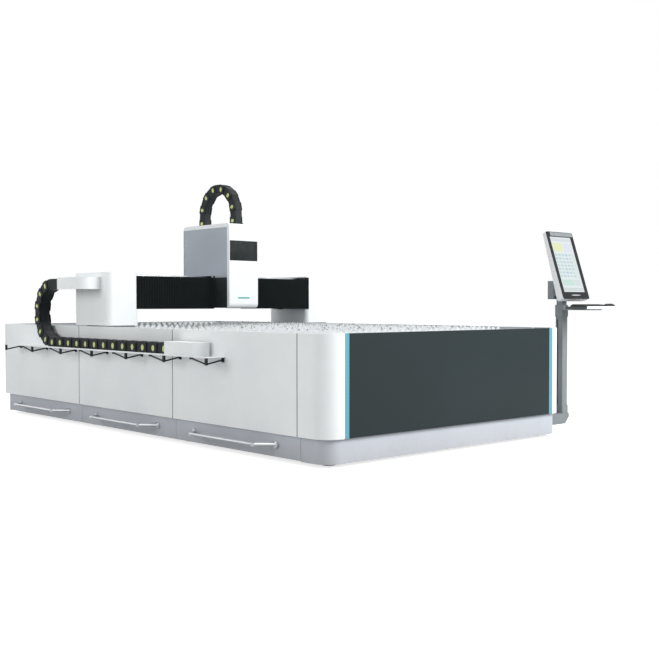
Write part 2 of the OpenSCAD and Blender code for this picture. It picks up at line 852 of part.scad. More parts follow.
module beam_chain_tray() {
  z0 = bc_z - bc_h / 2;
  color("#8A8F92") difference() {
    box([-120, gb_b, z0 - 4], [col_in - 20, bc_f + bc_w + 8, z0 + 20]);
    box([-121, gb_b + 4, z0 - 0.6], [col_in - 19, bc_f + bc_w + 5, z0 + 21]);
  }
}

// chain behind the beam, one solid with grooves
module beam_chain() {
  ro = bc_r + bc_h / 2;
  ri = bc_r - bc_h / 2;
  zc = bc_z + bc_r;
  color("#23272B") translate([0, bc_f, 0]) union() {
    for (z = [zc - ro, zc + ri]) {
      box([-60, 3, z + 3], [bc_x + 1, bc_w - 3, z + bc_h - 3]);
      for (i = [0 : 9])
        box([-40 + i * 44, 0, z], [i * 44, bc_w, z + bc_h]);
    }
    translate([bc_x, 0, zc]) {
      difference() {
        translate([0, bc_w - 3, 0]) rotate([90, 0, 0]) cylinder(r = ro - 5, h = bc_w - 6);
        translate([0, bc_w, 0]) rotate([90, 0, 0]) cylinder(r = ri + 5, h = bc_w);
        box([-ro - 1, -1, -ro - 1], [0, bc_w + 1, ro + 1]);
      }
      for (i = [0 : 6])
        rotate([0, 77 - i * 25.7, 0])
          box([ri + 1, 0, -15], [ro - 1, bc_w, 15]);
    }
    box([-80, 10, zc - ro - 0.6], [-50, bc_w - 10, zc - ro + 30]);
  }
}

module carriage_plate() {
  s = side_half;
  zb = gantry_beam_bottom + 5;
  color("#7E8488") difference() {
    union() {
      box([-s, plate_f, zb], [s, plate_b, saddle_z + 70]);
      box([-s, plate_f, saddle_z], [s, hr - 20, saddle_z + 15]);
      for (x = [-s, s - 10])
        box([x, bel_f - 3, zb], [x + 10, plate_f + 1, gb_top]);
      box([-s + 10, gb_f - 120, saddle_z + 70], [s - 10, gb_f - 20, saddle_z + 82]);
      for (x = [-70, 70])
        box([x - 8, plate_f - 14, zb + 10], [x + 8, plate_f + 1, saddle_z + 60]);
      box([-40, bc_f, bc_z + 2 * bc_r + bc_h / 2], [40, hr - 20, saddle_z + 1]);
    }
    translate([0, z_screw_y, saddle_z + 60]) cylinder(r = screw_d / 2 + run_fit, h = 40);
    translate([0, c_pinion_y, saddle_z - 1]) cylinder(r = 20, h = 20);
  }
}

module carriage_blocks() {
  color("#8F9498") for (z = [gantry_beam_bottom + 40, gb_top - 42])
    for (x = [-145, 45])
      translate([x, gb_f, z])
        rotate([90, 0, 90]) linear_extrude(100) rotate([0, 0, 90]) block_profile();
}

// rounded head cover, faces moved in by g
module head_body(g, w) {
  r = head_radius - g;
  y0 = hf + g;
  y1 = hr - g;
  z1 = head_top - g;
  module bar(y, z) {
    translate([-w, y, z]) rotate([0, 90, 0]) cylinder(r = r, h = 2 * w);
  }
  union() {
    box([-w, y0 + r, gb_top + 23], [w, y1, z1 - r]);
    box([-w, y0 + r, z1 - r - 1], [w, y1 - r, z1]);
    box([-w, y0, head_bottom + head_radius], [w, y0 + r + 1, z1 - r]);
    box([-w, y0 + r, head_bottom + g], [w, head_step, gb_top + 60]);
    bar(y0 + r, z1 - r);
    bar(y1 - r, z1 - r);
    bar(y0 + r, head_bottom + g + r);
  }
}

module head_cover() {
  w = head_width / 2;
  color("#F4F6F6") union() {
    difference() {
      head_body(0, w);
      head_body(sheet + 1, w + 1);
      box([-w - 1, hf + head_radius, head_bottom - 1], [w + 1, hr - 1, gb_top + 24]);
      box([-w - 1, hf + head_radius, gb_top + 20], [w + 1, hr - head_radius, gb_top + 62]);
      box([-w + 5, hf - 1, window_bottom], [w - 5, hf + 10, window_bottom + window_height]);
    }
    both_sides() intersection() {
      head_body(0, w);
      union() {
        box([-w, hf, head_bottom], [-w + 3, hf + head_rim, head_top]);
        box([-w, hf, head_top - head_rim], [-w + 3, hr, head_top]);
      }
    }
  }
}

module head_sides() {
  w = head_width / 2;
  color("#9AA1A8") both_sides()
    intersection() {
      head_body(sheet + 1, w - 3);
      box([-w + 3, hf, head_bottom], [-w + 6, hr, head_top]);
    }
}

module head_window() {
  w = head_width / 2 - 5.2;
  color("#24282B") union() {
    box([-w, hf + 1, window_bottom + 0.2], [w, hf + 4, window_bottom + window_height - 0.2]);
    box([-w + 2, hf + 4, window_bottom - 12], [w - 2, hf + 6, window_bottom + window_height + 12]);
  }
}

module carriage_motor() {
  z = saddle_z + 15;
  color("#33373A") difference() {
    union() {
      box([-42, c_pinion_y - 42, z], [42, c_pinion_y + 42, z + 90]);
      translate([0, c_pinion_y, z + 89]) cylinder(r = 39, h = 31);
      box([-38, c_pinion_y - 38, z + 119], [38, c_pinion_y + 38, z + 240]);
    }
    translate([0, c_pinion_y, z - 1]) cylinder(r = 12 + run_fit, h = 51);
  }
}

module carriage_pinion() {
  color("#9A9FA3") translate([0, c_pinion_y, 0])
    rotate([0, 0, -90])
      pinion_body(carriage_teeth, 19, gb_top + 2, saddle_z + 55);
}

module z_motor() {
  z = saddle_z + 82;
  color("#33373A") difference() {
    union() {
      box([-40, z_screw_y - 40, z], [40, z_screw_y + 40, z + 30]);
      box([-38, z_screw_y - 38, z + 29], [38, z_screw_y + 38, z + 150]);
    }
    translate([0, z_screw_y, z - 1]) cylinder(r = screw_d / 2 + run_fit, h = 26);
  }
}

module z_screw() {
  color("#B4B8BB") translate([0, z_screw_y, gantry_beam_bottom + 60])
    cylinder(r = screw_d / 2, h = saddle_z + 102 - gantry_beam_bottom - 60);
}

module head_chain() {
  s = loop_section;
  ri = loop_radius - s;
  g = 4;
  color("#23272B") translate([0, loop_y, loop_z]) union() {
    difference() {
      translate([-s / 2 + g, 0, 0]) rotate([0, 90, 0]) cylinder(r = loop_radius - 9, h = s - 2 * g, $fn = 96);
      translate([-s / 2, 0, 0]) rotate([0, 90, 0]) cylinder(r = ri + 9, h = s, $fn = 96);
      box([-s, -loop_radius - 1, -loop_radius - 1], [s, loop_radius + 1, 0]);
    }
    for (i = [0 : 9])
      rotate([i * 18 + 9, 0, 0])
        box([-s / 2, ri + 2, -29], [s / 2, loop_radius - 4, 29]);
    for (d = [-1, 1]) {
      translate([0, d * (ri + s / 2), 0]) {
        box([-s / 2 + g, -s / 2 + g, -loop_leg], [s / 2 - g, s / 2 - g, 1]);
        box([-s / 2, -s / 2, -56], [s / 2, s / 2, -3]);
        box([-s / 2 - 6, -s / 2 - 6, -loop_leg], [s / 2 + 6, s / 2 + 6, -60]);
      }
    }
  }
}

module z_slide() {
  zb = gantry_beam_bottom + 130;
  y1 = plate_f - 15;
  color("#888E92") difference() {
    union() {
      box([-105, y1 - 40, zb], [105, y1 - 22, zb + 210]);
      for (x = [-70, 70]) for (z = [zb + 5, zb + 135]) {
        box([x - 25, y1 - 23, z], [x + 25, y1, z + 70]);
        for (d = [-1, 1])
          box([x + d * 16.75 - 8.25, y1 - 1, z], [x + d * 16.75 + 8.25, y1 + 10, z + 70]);
      }
      box([-22, y1 - 23, zb + 80], [22, y1 + 12, zb + 125]);
    }
    translate([0, z_screw_y, zb + 79]) cylinder(r = screw_d / 2 + run_fit, h = 47);
  }
}

module cutting_head() {
  y1 = plate_f - 55;
  r = nozzle_holder_d / 2;
  color("#2F3336") union() {
    box([-45, head_y - 45, tip_z + 120], [45, y1, tip_z + 330]);
    translate([0, head_y, tip_z + 60]) cylinder(r = 36, h = 61);
    translate([0, head_y, tip_z + 28]) cylinder(r = r, h = 33);
    translate([0, head_y, tip_z + 329]) cylinder(r = 24, h = 61);
    translate([0, head_y, tip_z]) cylinder(r1 = 3, r2 = 14, h = 29);
  }
}

module swivel_bracket() {
  s = pole_size / 2 + 6;
  z1 = pole_top + 96;
  color("#7C8184") difference() {
    union() {
      round_box([pole_x - s, cy - s, pole_top], [pole_x + s, cy + s, z1], 14);
      box([pole_x - 30, cy - 28, z1 - 1], [pole_x + 30, cy + 28, pole_top + 175]);
      round_box([pole_x - 45, cy - 36, pole_top + 170], [pole_x + 45, cy + 80, pole_top + 230], 10);
      round_box([pole_x - 55, cy + 36, pole_top + 142], [pole_x + 55, cy + 104, pole_top + 291], 14);
      box([pole_x - 45, cy - 36, pole_top + 170], [pole_x + 45, cy + 36, pole_top + 236]);
      for (x = [-45, 33])
        box([pole_x + x, cy - 12, pole_top + 230], [pole_x + x + 12, cy + 24, pole_top + 262]);
      for (x = [-45, 33])
        translate([pole_x + x, tilt_y, tilt_z]) rotate([0, 90, 0]) cylinder(r = 18, h = 12);
      box([pole_x - 70, key_f + 20, tray_top - 11], [pole_x + 70, cy - s + 1, tray_top]);
    }
    translate([pole_x, cy, pole_top - 1]) cylinder(r = 20 + run_fit, h = 63);
    for (x = [-46, 32])
      translate([pole_x + x, tilt_y, tilt_z]) rotate([0, 90, 0]) cylinder(r = 8 + run_fit, h = 14);
  }
}

module keyboard_tray() {
  w = key_tray_width / 2;
  color("#54595C") difference() {
    box([key_x - w, key_f, tray_top], [key_x + w, key_f + key_tray_depth, tray_top + 18]);
    box([key_x - w + 4, key_f + 4, tray_top + 4], [key_x + w - 4, key_f + key_tray_depth - 4, tray_top + 19]);
  }
}

module keyboard() {
  x0 = key_x - key_tray_width / 2 + 16;
  z = tray_top + 4;
  color("#26292B") difference() {
    box([x0, key_f + 24, z], [x0 + 380, key_f + 164, z + 26]);
    translate([x0 - 1, key_f + 24, z + 17]) rotate([4, 0, 0]) box([0, -10, 0], [384, 180, 30]);
  }
}

module mouse() {
  x0 = key_x + key_tray_width / 2 - 84;
  z = tray_top + 4;
  color("#1E2022") intersection() {
    round_box([x0, key_f + 34, z], [x0 + 64, key_f + 146, z + 38], 28);
    translate([x0 - 20, key_f + 90, z - 62]) rotate([0, 90, 0]) cylinder(r = 100, h = 110, $fn = 96);
  }
}

// tilted frame of the monitor, origin at the lower front edge
module on_monitor() {
  translate([pole_x, mon_y, mon_z]) rotate([-monitor_tilt, 0, 0]) children();
}

module monitor_housing() {
  w = monitor_width / 2;
  d = monitor_depth;
  h = monitor_height;
  color("#E9EBEC") union() {
    on_monitor() difference() {
      round_box_y([-w, 0, 0], [w, d, h], 14);
      box([-w + bezel_side, -1, bezel_foot], [w - bezel_side, 8, h - bezel_top]);
      translate([0, d, 0]) rotate([asin((d - monitor_top_depth) / h), 0, 0])
        box([-w - 1, 0, -60], [w + 1, 90, h + 60]);
    }
    on_monitor() box([-100, monitor_top_depth, 60], [100, d + 2, 260]);
    difference() {
      union() {
        translate([pole_x - 32, tilt_y, tilt_z]) rotate([0, 90, 0]) cylinder(r = 18, h = 64);
        translate([pole_x - 45, tilt_y, tilt_z]) rotate([0, 90, 0]) cylinder(r = 8, h = 90);
        box([pole_x - 32, mon_y + 80, tilt_z - 14], [pole_x + 32, tilt_y, tilt_z + 14]);
      }
      on_monitor() box([-200, -100, -100], [200, d - 10, 800]);
    }
  }
}

// block with rounded edges along Y
module round_box_y(a, b, r) {
  union() {
    box([a[0] + r, a[1], a[2]], [b[0] - r, b[1], b[2]]);
    box([a[0], a[1], a[2] + r], [b[0], b[1], b[2] - r]);
    for (x = [a[0] + r, b[0] - r])
      for (z = [a[2] + r, b[2] - r])
        translate([x, b[1], z]) rotate([90, 0, 0]) cylinder(r = r, h = b[1] - a[1]);
  }
}

module monitor_screen() {
  w = monitor_width / 2 - bezel_side - 0.2;
  color("#C8D4DA") on_monitor()
    box([-w, 2, bezel_foot + 0.2], [w, 8, monitor_height - bezel_top - 0.2]);
}

bed_beams();
bed_cross_beams();
bed_posts();
levelling_feet();
guide_rails();
gear_racks();
slat_carriers();
cutting_slats();
side_panels();
deck_plates();
front_corners();
front_panel();
light_strips();
rear_panel();
skirts();
chain_tray();
tray_brackets();
chain_end_cover();
gantry_chain_lower();
console_elbow();
console_pole();
scrap_drawer_front();
scrap_drawer_middle();
scrap_drawer_rear();
drawer_handle_front();
drawer_handle_middle();
drawer_handle_rear();
gantry_legs();
gantry_blocks();
gantry_beam();
gantry_covers();
gantry_motors();
left_pinion();
right_pinion();
chain_bracket();
gantry_chain_upper();
gantry_chain_loop();
beam_guides();
left_bellows();
right_bellows();
beam_chain_tray();
beam_chain();
carriage_plate();
carriage_blocks();
head_cover();
head_sides();
head_window();
carriage_motor();
carriage_pinion();
z_motor();
z_screw();
head_chain();
z_slide();
cutting_head();
swivel_bracket();
keyboard_tray();
keyboard();
mouse();
monitor_housing();
monitor_screen();
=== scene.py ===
# %% [markdown]
# # A flat-bed laser cutting machine
# A long white bed carries a bridge that runs from end to end, a cutting head that runs along the
# bridge, drag chains that feed them, three scrap drawers and a swivelling operator console.
# The solid parts come packed from CAD. This script gives them their finishes and adds what the
# solids leave plain: chain links, pleats, screws, keys, screen glass and trim.

# %% Load the frame
import json
import math

import bmesh
import bpy
import numpy as np
from mathutils import Matrix, Vector

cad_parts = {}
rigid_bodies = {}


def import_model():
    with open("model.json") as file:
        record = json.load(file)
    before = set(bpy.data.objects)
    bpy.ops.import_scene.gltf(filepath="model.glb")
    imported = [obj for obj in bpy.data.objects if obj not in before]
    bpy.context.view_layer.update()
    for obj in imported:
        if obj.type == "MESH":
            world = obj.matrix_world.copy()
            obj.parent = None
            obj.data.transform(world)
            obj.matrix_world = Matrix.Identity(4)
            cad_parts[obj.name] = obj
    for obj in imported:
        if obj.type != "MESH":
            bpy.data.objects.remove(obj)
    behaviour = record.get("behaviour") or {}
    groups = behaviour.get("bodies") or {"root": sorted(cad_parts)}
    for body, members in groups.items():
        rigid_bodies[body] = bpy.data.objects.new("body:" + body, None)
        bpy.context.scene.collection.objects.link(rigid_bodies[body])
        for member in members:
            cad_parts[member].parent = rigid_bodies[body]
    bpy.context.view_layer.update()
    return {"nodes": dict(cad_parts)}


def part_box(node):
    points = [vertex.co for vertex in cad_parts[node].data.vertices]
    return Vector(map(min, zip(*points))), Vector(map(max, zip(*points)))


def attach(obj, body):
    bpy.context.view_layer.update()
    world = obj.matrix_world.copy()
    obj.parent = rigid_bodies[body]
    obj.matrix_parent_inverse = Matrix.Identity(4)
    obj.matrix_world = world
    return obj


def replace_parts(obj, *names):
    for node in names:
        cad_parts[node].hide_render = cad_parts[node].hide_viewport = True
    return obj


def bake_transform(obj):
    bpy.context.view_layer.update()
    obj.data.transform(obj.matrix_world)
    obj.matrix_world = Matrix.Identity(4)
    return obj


for stray in list(bpy.data.objects):
    bpy.data.objects.remove(stray)
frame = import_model()
cad = frame["nodes"]
scene = bpy.context.scene

# %% [markdown]
# ## A few small helpers
# Paint charts give colours as sRGB hex, while Blender's sockets want linear light, so one function
# turns one into the other. A second one adds any node, sets it and links it; shader trees and
# geometry trees are both built with it. The rest are the steps that most finishes need: arithmetic,
# a change of range, a mix of two colours, cloudy noise and the height above the floor. The last
# one puts an object into the scene.

# %% Colour and node helpers
MM = 0.001


def linear(code):
    """An sRGB hex colour as linear RGBA."""
    parts = [int(code[i:i + 2], 16) / 255 for i in (1, 3, 5)]
    return tuple(p / 12.92 if p <= 0.04045 else ((p + 0.055) / 1.055) ** 2.4 for p in parts) + (1.0,)


def add(tree, kind, feeds=None, **settings):
    """A new node: settings are its own properties, feeds fill its inputs by a value or a link."""
    node = tree.nodes.new(kind)
    for name, value in settings.items():
        setattr(node, name, value)
    for key, value in (feeds or {}).items():
        if isinstance(value, bpy.types.NodeSocket):
            tree.links.new(value, node.inputs[key])
        else:
            node.inputs[key].default_value = value
    return node


def maths(tree, operation, *values):
    """The result of one arithmetic step."""
    return add(tree, "ShaderNodeMath", dict(enumerate(values)), operation=operation).outputs[0]


def ramp(tree, value, low, high, start, stop):
    """A value that runs from low to high, carried over to start and stop."""
    return add(tree, "ShaderNodeMapRange", {0: value, 1: low, 2: high, 3: start, 4: stop}).outputs[0]


def mix(tree, share, first, second):
    """Two colours, mixed by a share from 0 to 1."""
    return add(tree, "ShaderNodeMix", {0: share, 6: first, 7: second}, data_type="RGBA").outputs[2]


def noise(tree, coords, size, detail):
    """Cloudy noise with clouds of about this size in metres."""
    return add(tree, "ShaderNodeTexNoise",
               {"Vector": coords, "Scale": 1 / size, "Detail": detail}).outputs[0]


def height_of(tree, coords):
    """The height of each point, in metres above the floor."""
    return add(tree, "ShaderNodeSeparateXYZ", {0: coords}).outputs[2]


def placed(name, data):
    """A new object in the scene."""
    piece = bpy.data.objects.new(name, data)
    scene.collection.objects.link(piece)
    return piece


print("white paint in linear light:", [round(v, 3) for v in linear("#EEF1F2")])

# %% [markdown]
# ## Camera, floor and studio light
# The camera stands low in front of the left corner with a long lens, so uprights stay upright. The
# floor is a plain pale sheet that runs out to the horizon, and the sky behind it is white only to the
# eye and to reflections. Lamps stay at a level where a colour looks about as it is written.

# %% Camera
forward = Vector((0.66965, 0.74226, -0.02490)).normalized()
right = Vector((0.74248, -0.66987, -0.0004)).normalized()
lens = bpy.data.cameras.new("viewpoint")
lens.lens, lens.sensor_width = 54.74, 36.0
lens.clip_start, lens.clip_end = 0.1, 200.0
camera = placed("viewpoint", lens)
camera.matrix_world = Matrix((right, right.cross(forward), -forward)).transposed().to_4x4()
camera.location = (-5.3708, -6.8942, 1.0292)
scene.camera = camera
scene.view_settings.view_transform = "Standard"
print("camera height", round(camera.location.z, 2), "m, lens", lens.lens, "mm")

# %% Sky and floor
SKY_LIGHT, FLOOR_GLOW, FLOOR_HALF = 0.5, 0.76, 90
WHITE_LIGHT = (1.0, 1.0, 1.0, 1.0)
sky = bpy.data.worlds.new("studio")
sky.use_nodes = True
scene.world = sky
tree = sky.node_tree
path = add(tree, "ShaderNodeLightPath")
seen = maths(tree, "MAXIMUM", path.outputs["Is Camera Ray"], path.outputs["Is Glossy Ray"])
seen = maths(tree, "MAXIMUM", seen, path.outputs["Is Transmission Ray"])
backdrop = tree.nodes["Background"]
backdrop.inputs["Color"].default_value = WHITE_LIGHT
tree.links.new(maths(tree, "MULTIPLY_ADD", seen, 1.0 - SKY_LIGHT, SKY_LIGHT),
               backdrop.inputs["Strength"])

pale = bpy.data.materials.new("studio_floor_matt")
pale.use_nodes = True
tree = pale.node_tree
path = add(tree, "ShaderNodeLightPath")
shader = tree.nodes["Principled BSDF"]
shader.inputs["Base Color"].default_value = linear("#C0C0C0")
shader.inputs["Roughness"].default_value = 0.9
shader.inputs["Specular IOR Level"].default_value = 0.1
shader.inputs["Emission Color"].default_value = WHITE_LIGHT
tree.links.new(maths(tree, "MULTIPLY", path.outputs["Is Camera Ray"], FLOOR_GLOW),
               shader.inputs["Emission Strength"])

floor_mesh = bpy.data.meshes.new("studio_floor")
corners = [(x * FLOOR_HALF, y * FLOOR_HALF, 0) for x, y in ((-1, -1), (1, -1), (1, 1), (-1, 1))]
floor_mesh.from_pydata(corners, [], [(0, 1, 2, 3)])
floor_mesh.materials.append(pale)
floor = placed("studio_floor", floor_mesh)
print("floor and sky ready")

# %% Lamps
LAMPS = [  # name, place, aim, width, height, watts
    ("key_front_right", (3.4, -8.8, 4.6), (0.0, -0.5, 0.6), 6.0, 4.0, 840),
    ("top_soft", (0.0, 0.5, 8.0), (0.0, 0.0, 0.0), 7.0, 9.0, 380),
    ("left_soft", (-8.0, 1.6, 3.0), (-1.2, 0.3, 0.9), 4.0, 3.0, 155),
]
for name, place, aim, width, height, watts in LAMPS:
    lamp = bpy.data.lights.new(name, "AREA")
    lamp.shape, lamp.size, lamp.size_y, lamp.energy = "RECTANGLE", width, height, watts
    lamp_object = placed(name, lamp)
    lamp_object.location = place
    lamp_object.rotation_euler = (Vector(aim) - Vector(place)).to_track_quat("-Z", "Y").to_euler()
print("lamps:", [row[0] for row in LAMPS])

# %% [markdown]
# ## Finishes
# Most of the machine is folded sheet with a baked powder coat. The powder melts into a skin with a
# faint orange peel, a few millimetres from dimple to dimple, and it never dries to quite one tone, so
# each coat gets a cloudy tone, a roughness that wanders and a fine bump. Floor dust greys the foot of
# the panels. One function makes every coat: the process is the same and only the pigment differs.

# %% Powder coats
DUST_HEIGHT, DUST_PATCH, DUST_COVER = 0.15, 0.04, 0.5


def blank(name, colour, **settings):
    """A material with one Principled shader, its tree and the Object coordinates to draw on."""
    material = bpy.data.materials.new(name)
    material.use_nodes = True
    shader = material.node_tree.nodes["Principled BSDF"]
    shader.inputs["Base Color"].default_value = linear(colour)
    for socket, value in settings.items():
        shader.inputs[socket.replace("_", " ")].default_value = value
    coords = add(material.node_tree, "ShaderNodeTexCoord").outputs["Object"]
    return material, material.node_tree, shader, coords


def drawn(tree, shader, colour, rough=None, relief=None, strength=0.0, depth_mm=0.0):
    """Feeds a shader with a drawn colour and, where there is one, a drawn roughness and relief."""
    tree.links.new(colour, shader.inputs["Base Color"])
    if rough is not None:
        tree.links.new(rough, shader.inputs["Roughness"])
    if relief is not None:
        bump = add(tree, "ShaderNodeBump",
                   {"Height": relief, "Strength": strength, "Distance": depth_mm * MM})
        tree.links.new(bump.outputs[0], shader.inputs["Normal"])


def powder_coat(name, colour, shade, rough=0.4, peel_mm=3.0, dusty=True, flake=0.0):
    """Baked polyester powder: cloudy tone, orange peel, dust near the floor and any metal flakes."""
    material, tree, shader, coords = blank(name, colour, Metallic=flake, Specular_IOR_Level=0.4)
    cloud = noise(tree, coords, 0.45, 3.0)
    paint = mix(tree, ramp(tree, cloud, 0.35, 0.7, 0.0, 1.0), linear(colour), linear(shade))
    if dusty:  # dust settles in patches, less and less of it with the height
        low = ramp(tree, height_of(tree, coords), 0.0, DUST_HEIGHT, 1.0, 0.0)
        dust = maths(tree, "MULTIPLY", low, noise(tree, coords, DUST_PATCH, 4.0))
        paint = mix(tree, maths(tree, "MULTIPLY", dust, DUST_COVER), paint, linear("#9C968C"))
    wander = ramp(tree, cloud, 0.3, 0.7, rough - 0.05, rough + 0.06)
    drawn(tree, shader, paint, wander, noise(tree, coords, peel_mm * MM, 1.0), 0.08, 0.2)
    return material


finish = {
    "white_paint": powder_coat("white_polyester_powder_coat", "#EEF1F2", "#E6EAEC"),
    "plinth_paint": powder_coat("cool_grey_powder_coat", "#BCC1C9", "#B6BBC3", rough=0.45),
    "frame_paint": powder_coat("grey_epoxy_coat_on_welded_steel", "#B9BEC2", "#A9AFB3", rough=0.55,
                               peel_mm=5.0),
    "console_grey": powder_coat("mid_grey_powder_coat", "#7D8386", "#74797C", rough=0.42, dusty=False),
    "head_grey": powder_coat("silver_metallic_satin_coat", "#A4ABB4", "#9CA4AD", rough=0.3, dusty=False,
                             flake=0.9),
}
print("powder coats:", len(finish))

# %% [markdown]
# The front panel is one large sheet in a dark slate lacquer, smoother and glossier than powder. The
# head window is smoked acrylic. Both are almost black by themselves and live from what they reflect.

# %% Lacquer and smoked acrylic
material, tree, shader, coords = blank("slate_gloss_lacquer", "#263032", Specular_IOR_Level=0.18)
tone = mix(tree, noise(tree, coords, 0.7, 2.0), linear("#242D2F"), linear("#293335"))
wander = ramp(tree, noise(tree, coords, 0.5, 3.0), 0.3, 0.7, 0.28, 0.33)
drawn(tree, shader, tone, wander, noise(tree, coords, 8 * MM, 1.0), 0.02, 0.1)
finish["slate_paint"] = material

material, tree, shader, coords = blank("smoked_acrylic_polished", "#24292B", Specular_IOR_Level=0.3)
smear = noise(tree, coords, 0.05, 4.0)
tone = mix(tree, smear, linear("#181D1F"), linear("#202628"))
drawn(tree, shader, tone, ramp(tree, smear, 0.3, 0.7, 0.08, 0.22))
finish["window_black"] = material
print("lacquer and acrylic ready")

# %% [markdown]
# Two upright strips glow at the front corners: frosted acrylic over a row of cyan diodes. Each diode
# makes a soft hot spot, so the glow swells a little every 25 mm up the strip.

# %% Light strip
DIODE_GAP = 25 * MM
material, tree, shader, coords = blank("frosted_acrylic_cyan_glow", "#4490A3", Roughness=0.5)
turn = maths(tree, "MULTIPLY", height_of(tree, coords), 2 * math.pi / DIODE_GAP)
glow = ramp(tree, maths(tree, "SINE", turn), -1.0, 1.0, 0.03, 0.06)
frost = noise(tree, coords, 2 * MM, 2.0)
drawn(tree, shader, mix(tree, frost, linear("#4C8FA0"), linear("#5A9CAC")))
shader.inputs["Emission Color"].default_value = linear("#5CC0D6")
tree.links.new(glow, shader.inputs["Emission Strength"])
finish["light_tint"] = material
print("light strip ready")

# %% [markdown]
# ## Metals
# Rails and racks are ground bright along their length. Slats are cut from mill plate: pale bright
# steel, with dark crusts of slag on some of the tips where the beam has crossed them. Handles are
# chromed tube. Motors and the cutting head are black-coated aluminium, and struts are blued steel.

# %% Metals
def worked_metal(name, colour, shade, rough, line_mm, stretch=(1.0, 1.0, 1.0), metallic=1.0, depth=0.1):
    """Metal with tool lines: noise squeezed along the direction that the tool went."""
    material, tree, shader, coords = blank(name, colour, Metallic=metallic)
    squeeze = add(tree, "ShaderNodeMapping", {"Vector": coords, "Scale": stretch})
    lines = noise(tree, squeeze.outputs[0], line_mm * MM, 3.0)
    patch = noise(tree, coords, 0.15, 4.0)
    share = ramp(tree, maths(tree, "MULTIPLY", lines, patch), 0.12, 0.4, 0.0, 1.0)
    wander = ramp(tree, patch, 0.3, 0.7, rough * 0.75, rough * 1.25)
    drawn(tree, shader, mix(tree, share, linear(shade), linear(colour)), wander, lines, depth, 0.1)
    return material


# tool lines are 0.1 to 0.3 mm apart; they are drawn at 1 to 4 mm so that they show
finish["ground_steel"] = worked_metal("ground_bearing_steel", "#C3C8CB", "#A4A9AD", 0.26, 1.2,
                                      stretch=(1.0, 0.02, 1.0))
finish["chrome"] = worked_metal("polished_chrome_tube", "#E4E7EA", "#D3D7DB", 0.09, 4.0,
                                stretch=(1.0, 0.05, 1.0), depth=0.02)
finish["motor_black"] = worked_metal("black_coated_motor_casting", "#24272A", "#1A1C1E", 0.5, 3.0,
                                     metallic=0.2, depth=0.2)
finish["head_black"] = worked_metal("black_anodised_aluminium", "#2B2F33", "#202327", 0.34, 1.0,
                                    stretch=(1.0, 1.0, 0.05), metallic=0.7)
finish["rod_black"] = worked_metal("blued_steel_bar", "#33373B", "#25282B", 0.42, 3.0, metallic=0.6)
finish["foot_iron"] = worked_metal("zinc_plated_foot_casting", "#8C9194", "#6B7073", 0.5, 4.0,
                                   metallic=0.8, depth=0.25)
screw_zinc = worked_metal("zinc_plated_screw_head", "#C9CDD0", "#AEB3B6", 0.3, 2.0)

# %% Slat steel
SLAG_FROM, SLAG_FULL = 0.845, 0.862  # heights on the slats' teeth
material, tree, shader, coords = blank("mill_plate_slat_steel", "#DEE1E2", Metallic=0.3)
steel = mix(tree, noise(tree, coords, 0.06, 5.0), linear("#BCC0C2"), linear("#DDE0E2"))
near_tip = ramp(tree, height_of(tree, coords), SLAG_FROM, SLAG_FULL, 0.0, 1.0)
crust = noise(tree, coords, 45 * MM, 3.0)
burnt = maths(tree, "MULTIPLY", near_tip, ramp(tree, crust, 0.55, 0.61, 0.0, 1.0))
drawn(tree, shader, mix(tree, burnt, steel, linear("#2F2A26")), ramp(tree, burnt, 0.0, 1.0, 0.38, 0.8),
      crust, 0.35, 0.8)
finish["slat_steel"] = material
print("metals ready:", len(finish), "finishes so far")

# %% [markdown]
# ## Plastics, coated cloth and glass
# Chain links are injection-moulded black nylon with glass fibre, which leaves a dry, slightly mottled
# surface. The bellows are cloth coated with black PVC. Monitor and keys are ABS with a spark-eroded
# mould grain of about half a millimetre, drawn at 1.5 mm so that it can be seen at all.

# %% Moulded plastics and coated cloth
def moulded(name, colour, shade, rough, grain_mm, gloss=0.35, depth=0.12):
    """Injection-moulded plastic: mould grain, a mottled tone and worn, shinier patches."""
    material, tree, shader, coords = blank(name, colour, Specular_IOR_Level=gloss)
    patch = noise(tree, coords, 0.08, 3.0)
    wander = ramp(tree, patch, 0.3, 0.7, rough - 0.08, rough + 0.08)
    drawn(tree, shader, mix(tree, patch, linear(shade), linear(colour)), wander,
          noise(tree, coords, grain_mm * MM, 2.0), depth, 0.2)
    return material


finish["chain_nylon"] = moulded("black_glass_filled_nylon", "#23282A", "#1A1E20", 0.5, 2.0, gloss=0.2)
finish["bellows_cloth"] = moulded("black_pvc_coated_cloth", "#272C2D", "#1F2324", 0.6, 1.2, gloss=0.15,
                                  depth=0.2)
finish["monitor_white"] = moulded("white_abs_fine_grain", "#EBEDEE", "#E2E5E6", 0.45, 1.5)
finish["key_black"] = moulded("black_abs_keycap", "#1D2022", "#15181A", 0.45, 1.5, gloss=0.3)
chain_insert = moulded("yellow_green_nylon_insert", "#CBD293", "#B8C07C", 0.45, 2.0)
bezel_black = moulded("satin_black_abs_bezel", "#14181A", "#0F1214", 0.32, 4.0, gloss=0.16, depth=0.03)
# this black also covers the plate on the head's side, which is painted shade
frame_and_shade_plate_black = moulded("black_nylon_end_frame", "#2D3335", "#282D2F", 0.5, 3.0, gloss=0.15, depth=0.05)
# this grey is a painted highlight along the top of the monitor's bezel
bezel_highlight_grey = moulded("satin_grey_abs_bar", "#7C8285", "#717779", 0.35, 2.0)
# this dark rubber also fills the pole's slot, as painted shade
rubber_and_slot_shade = moulded("black_rubber_slot_cover", "#3C4143", "#303436", 0.6, 2.0, gloss=0.2)
teal_bar = moulded("teal_acrylic_marker_bar", "#4FB3AE", "#3DA19C", 0.3, 3.0)
print("plastics ready")

# %% [markdown]
# The operator screen is a liquid-crystal panel behind glass. It shows a plain working page: a pale
# ground, a yellow drawing area, and rows of blue and green fields. The page is drawn flat on the
# glass, so a Mapping node first turns the coordinates by the panel's 18 degree lean. The glass itself
# is nearly black; almost all the light comes from behind it.

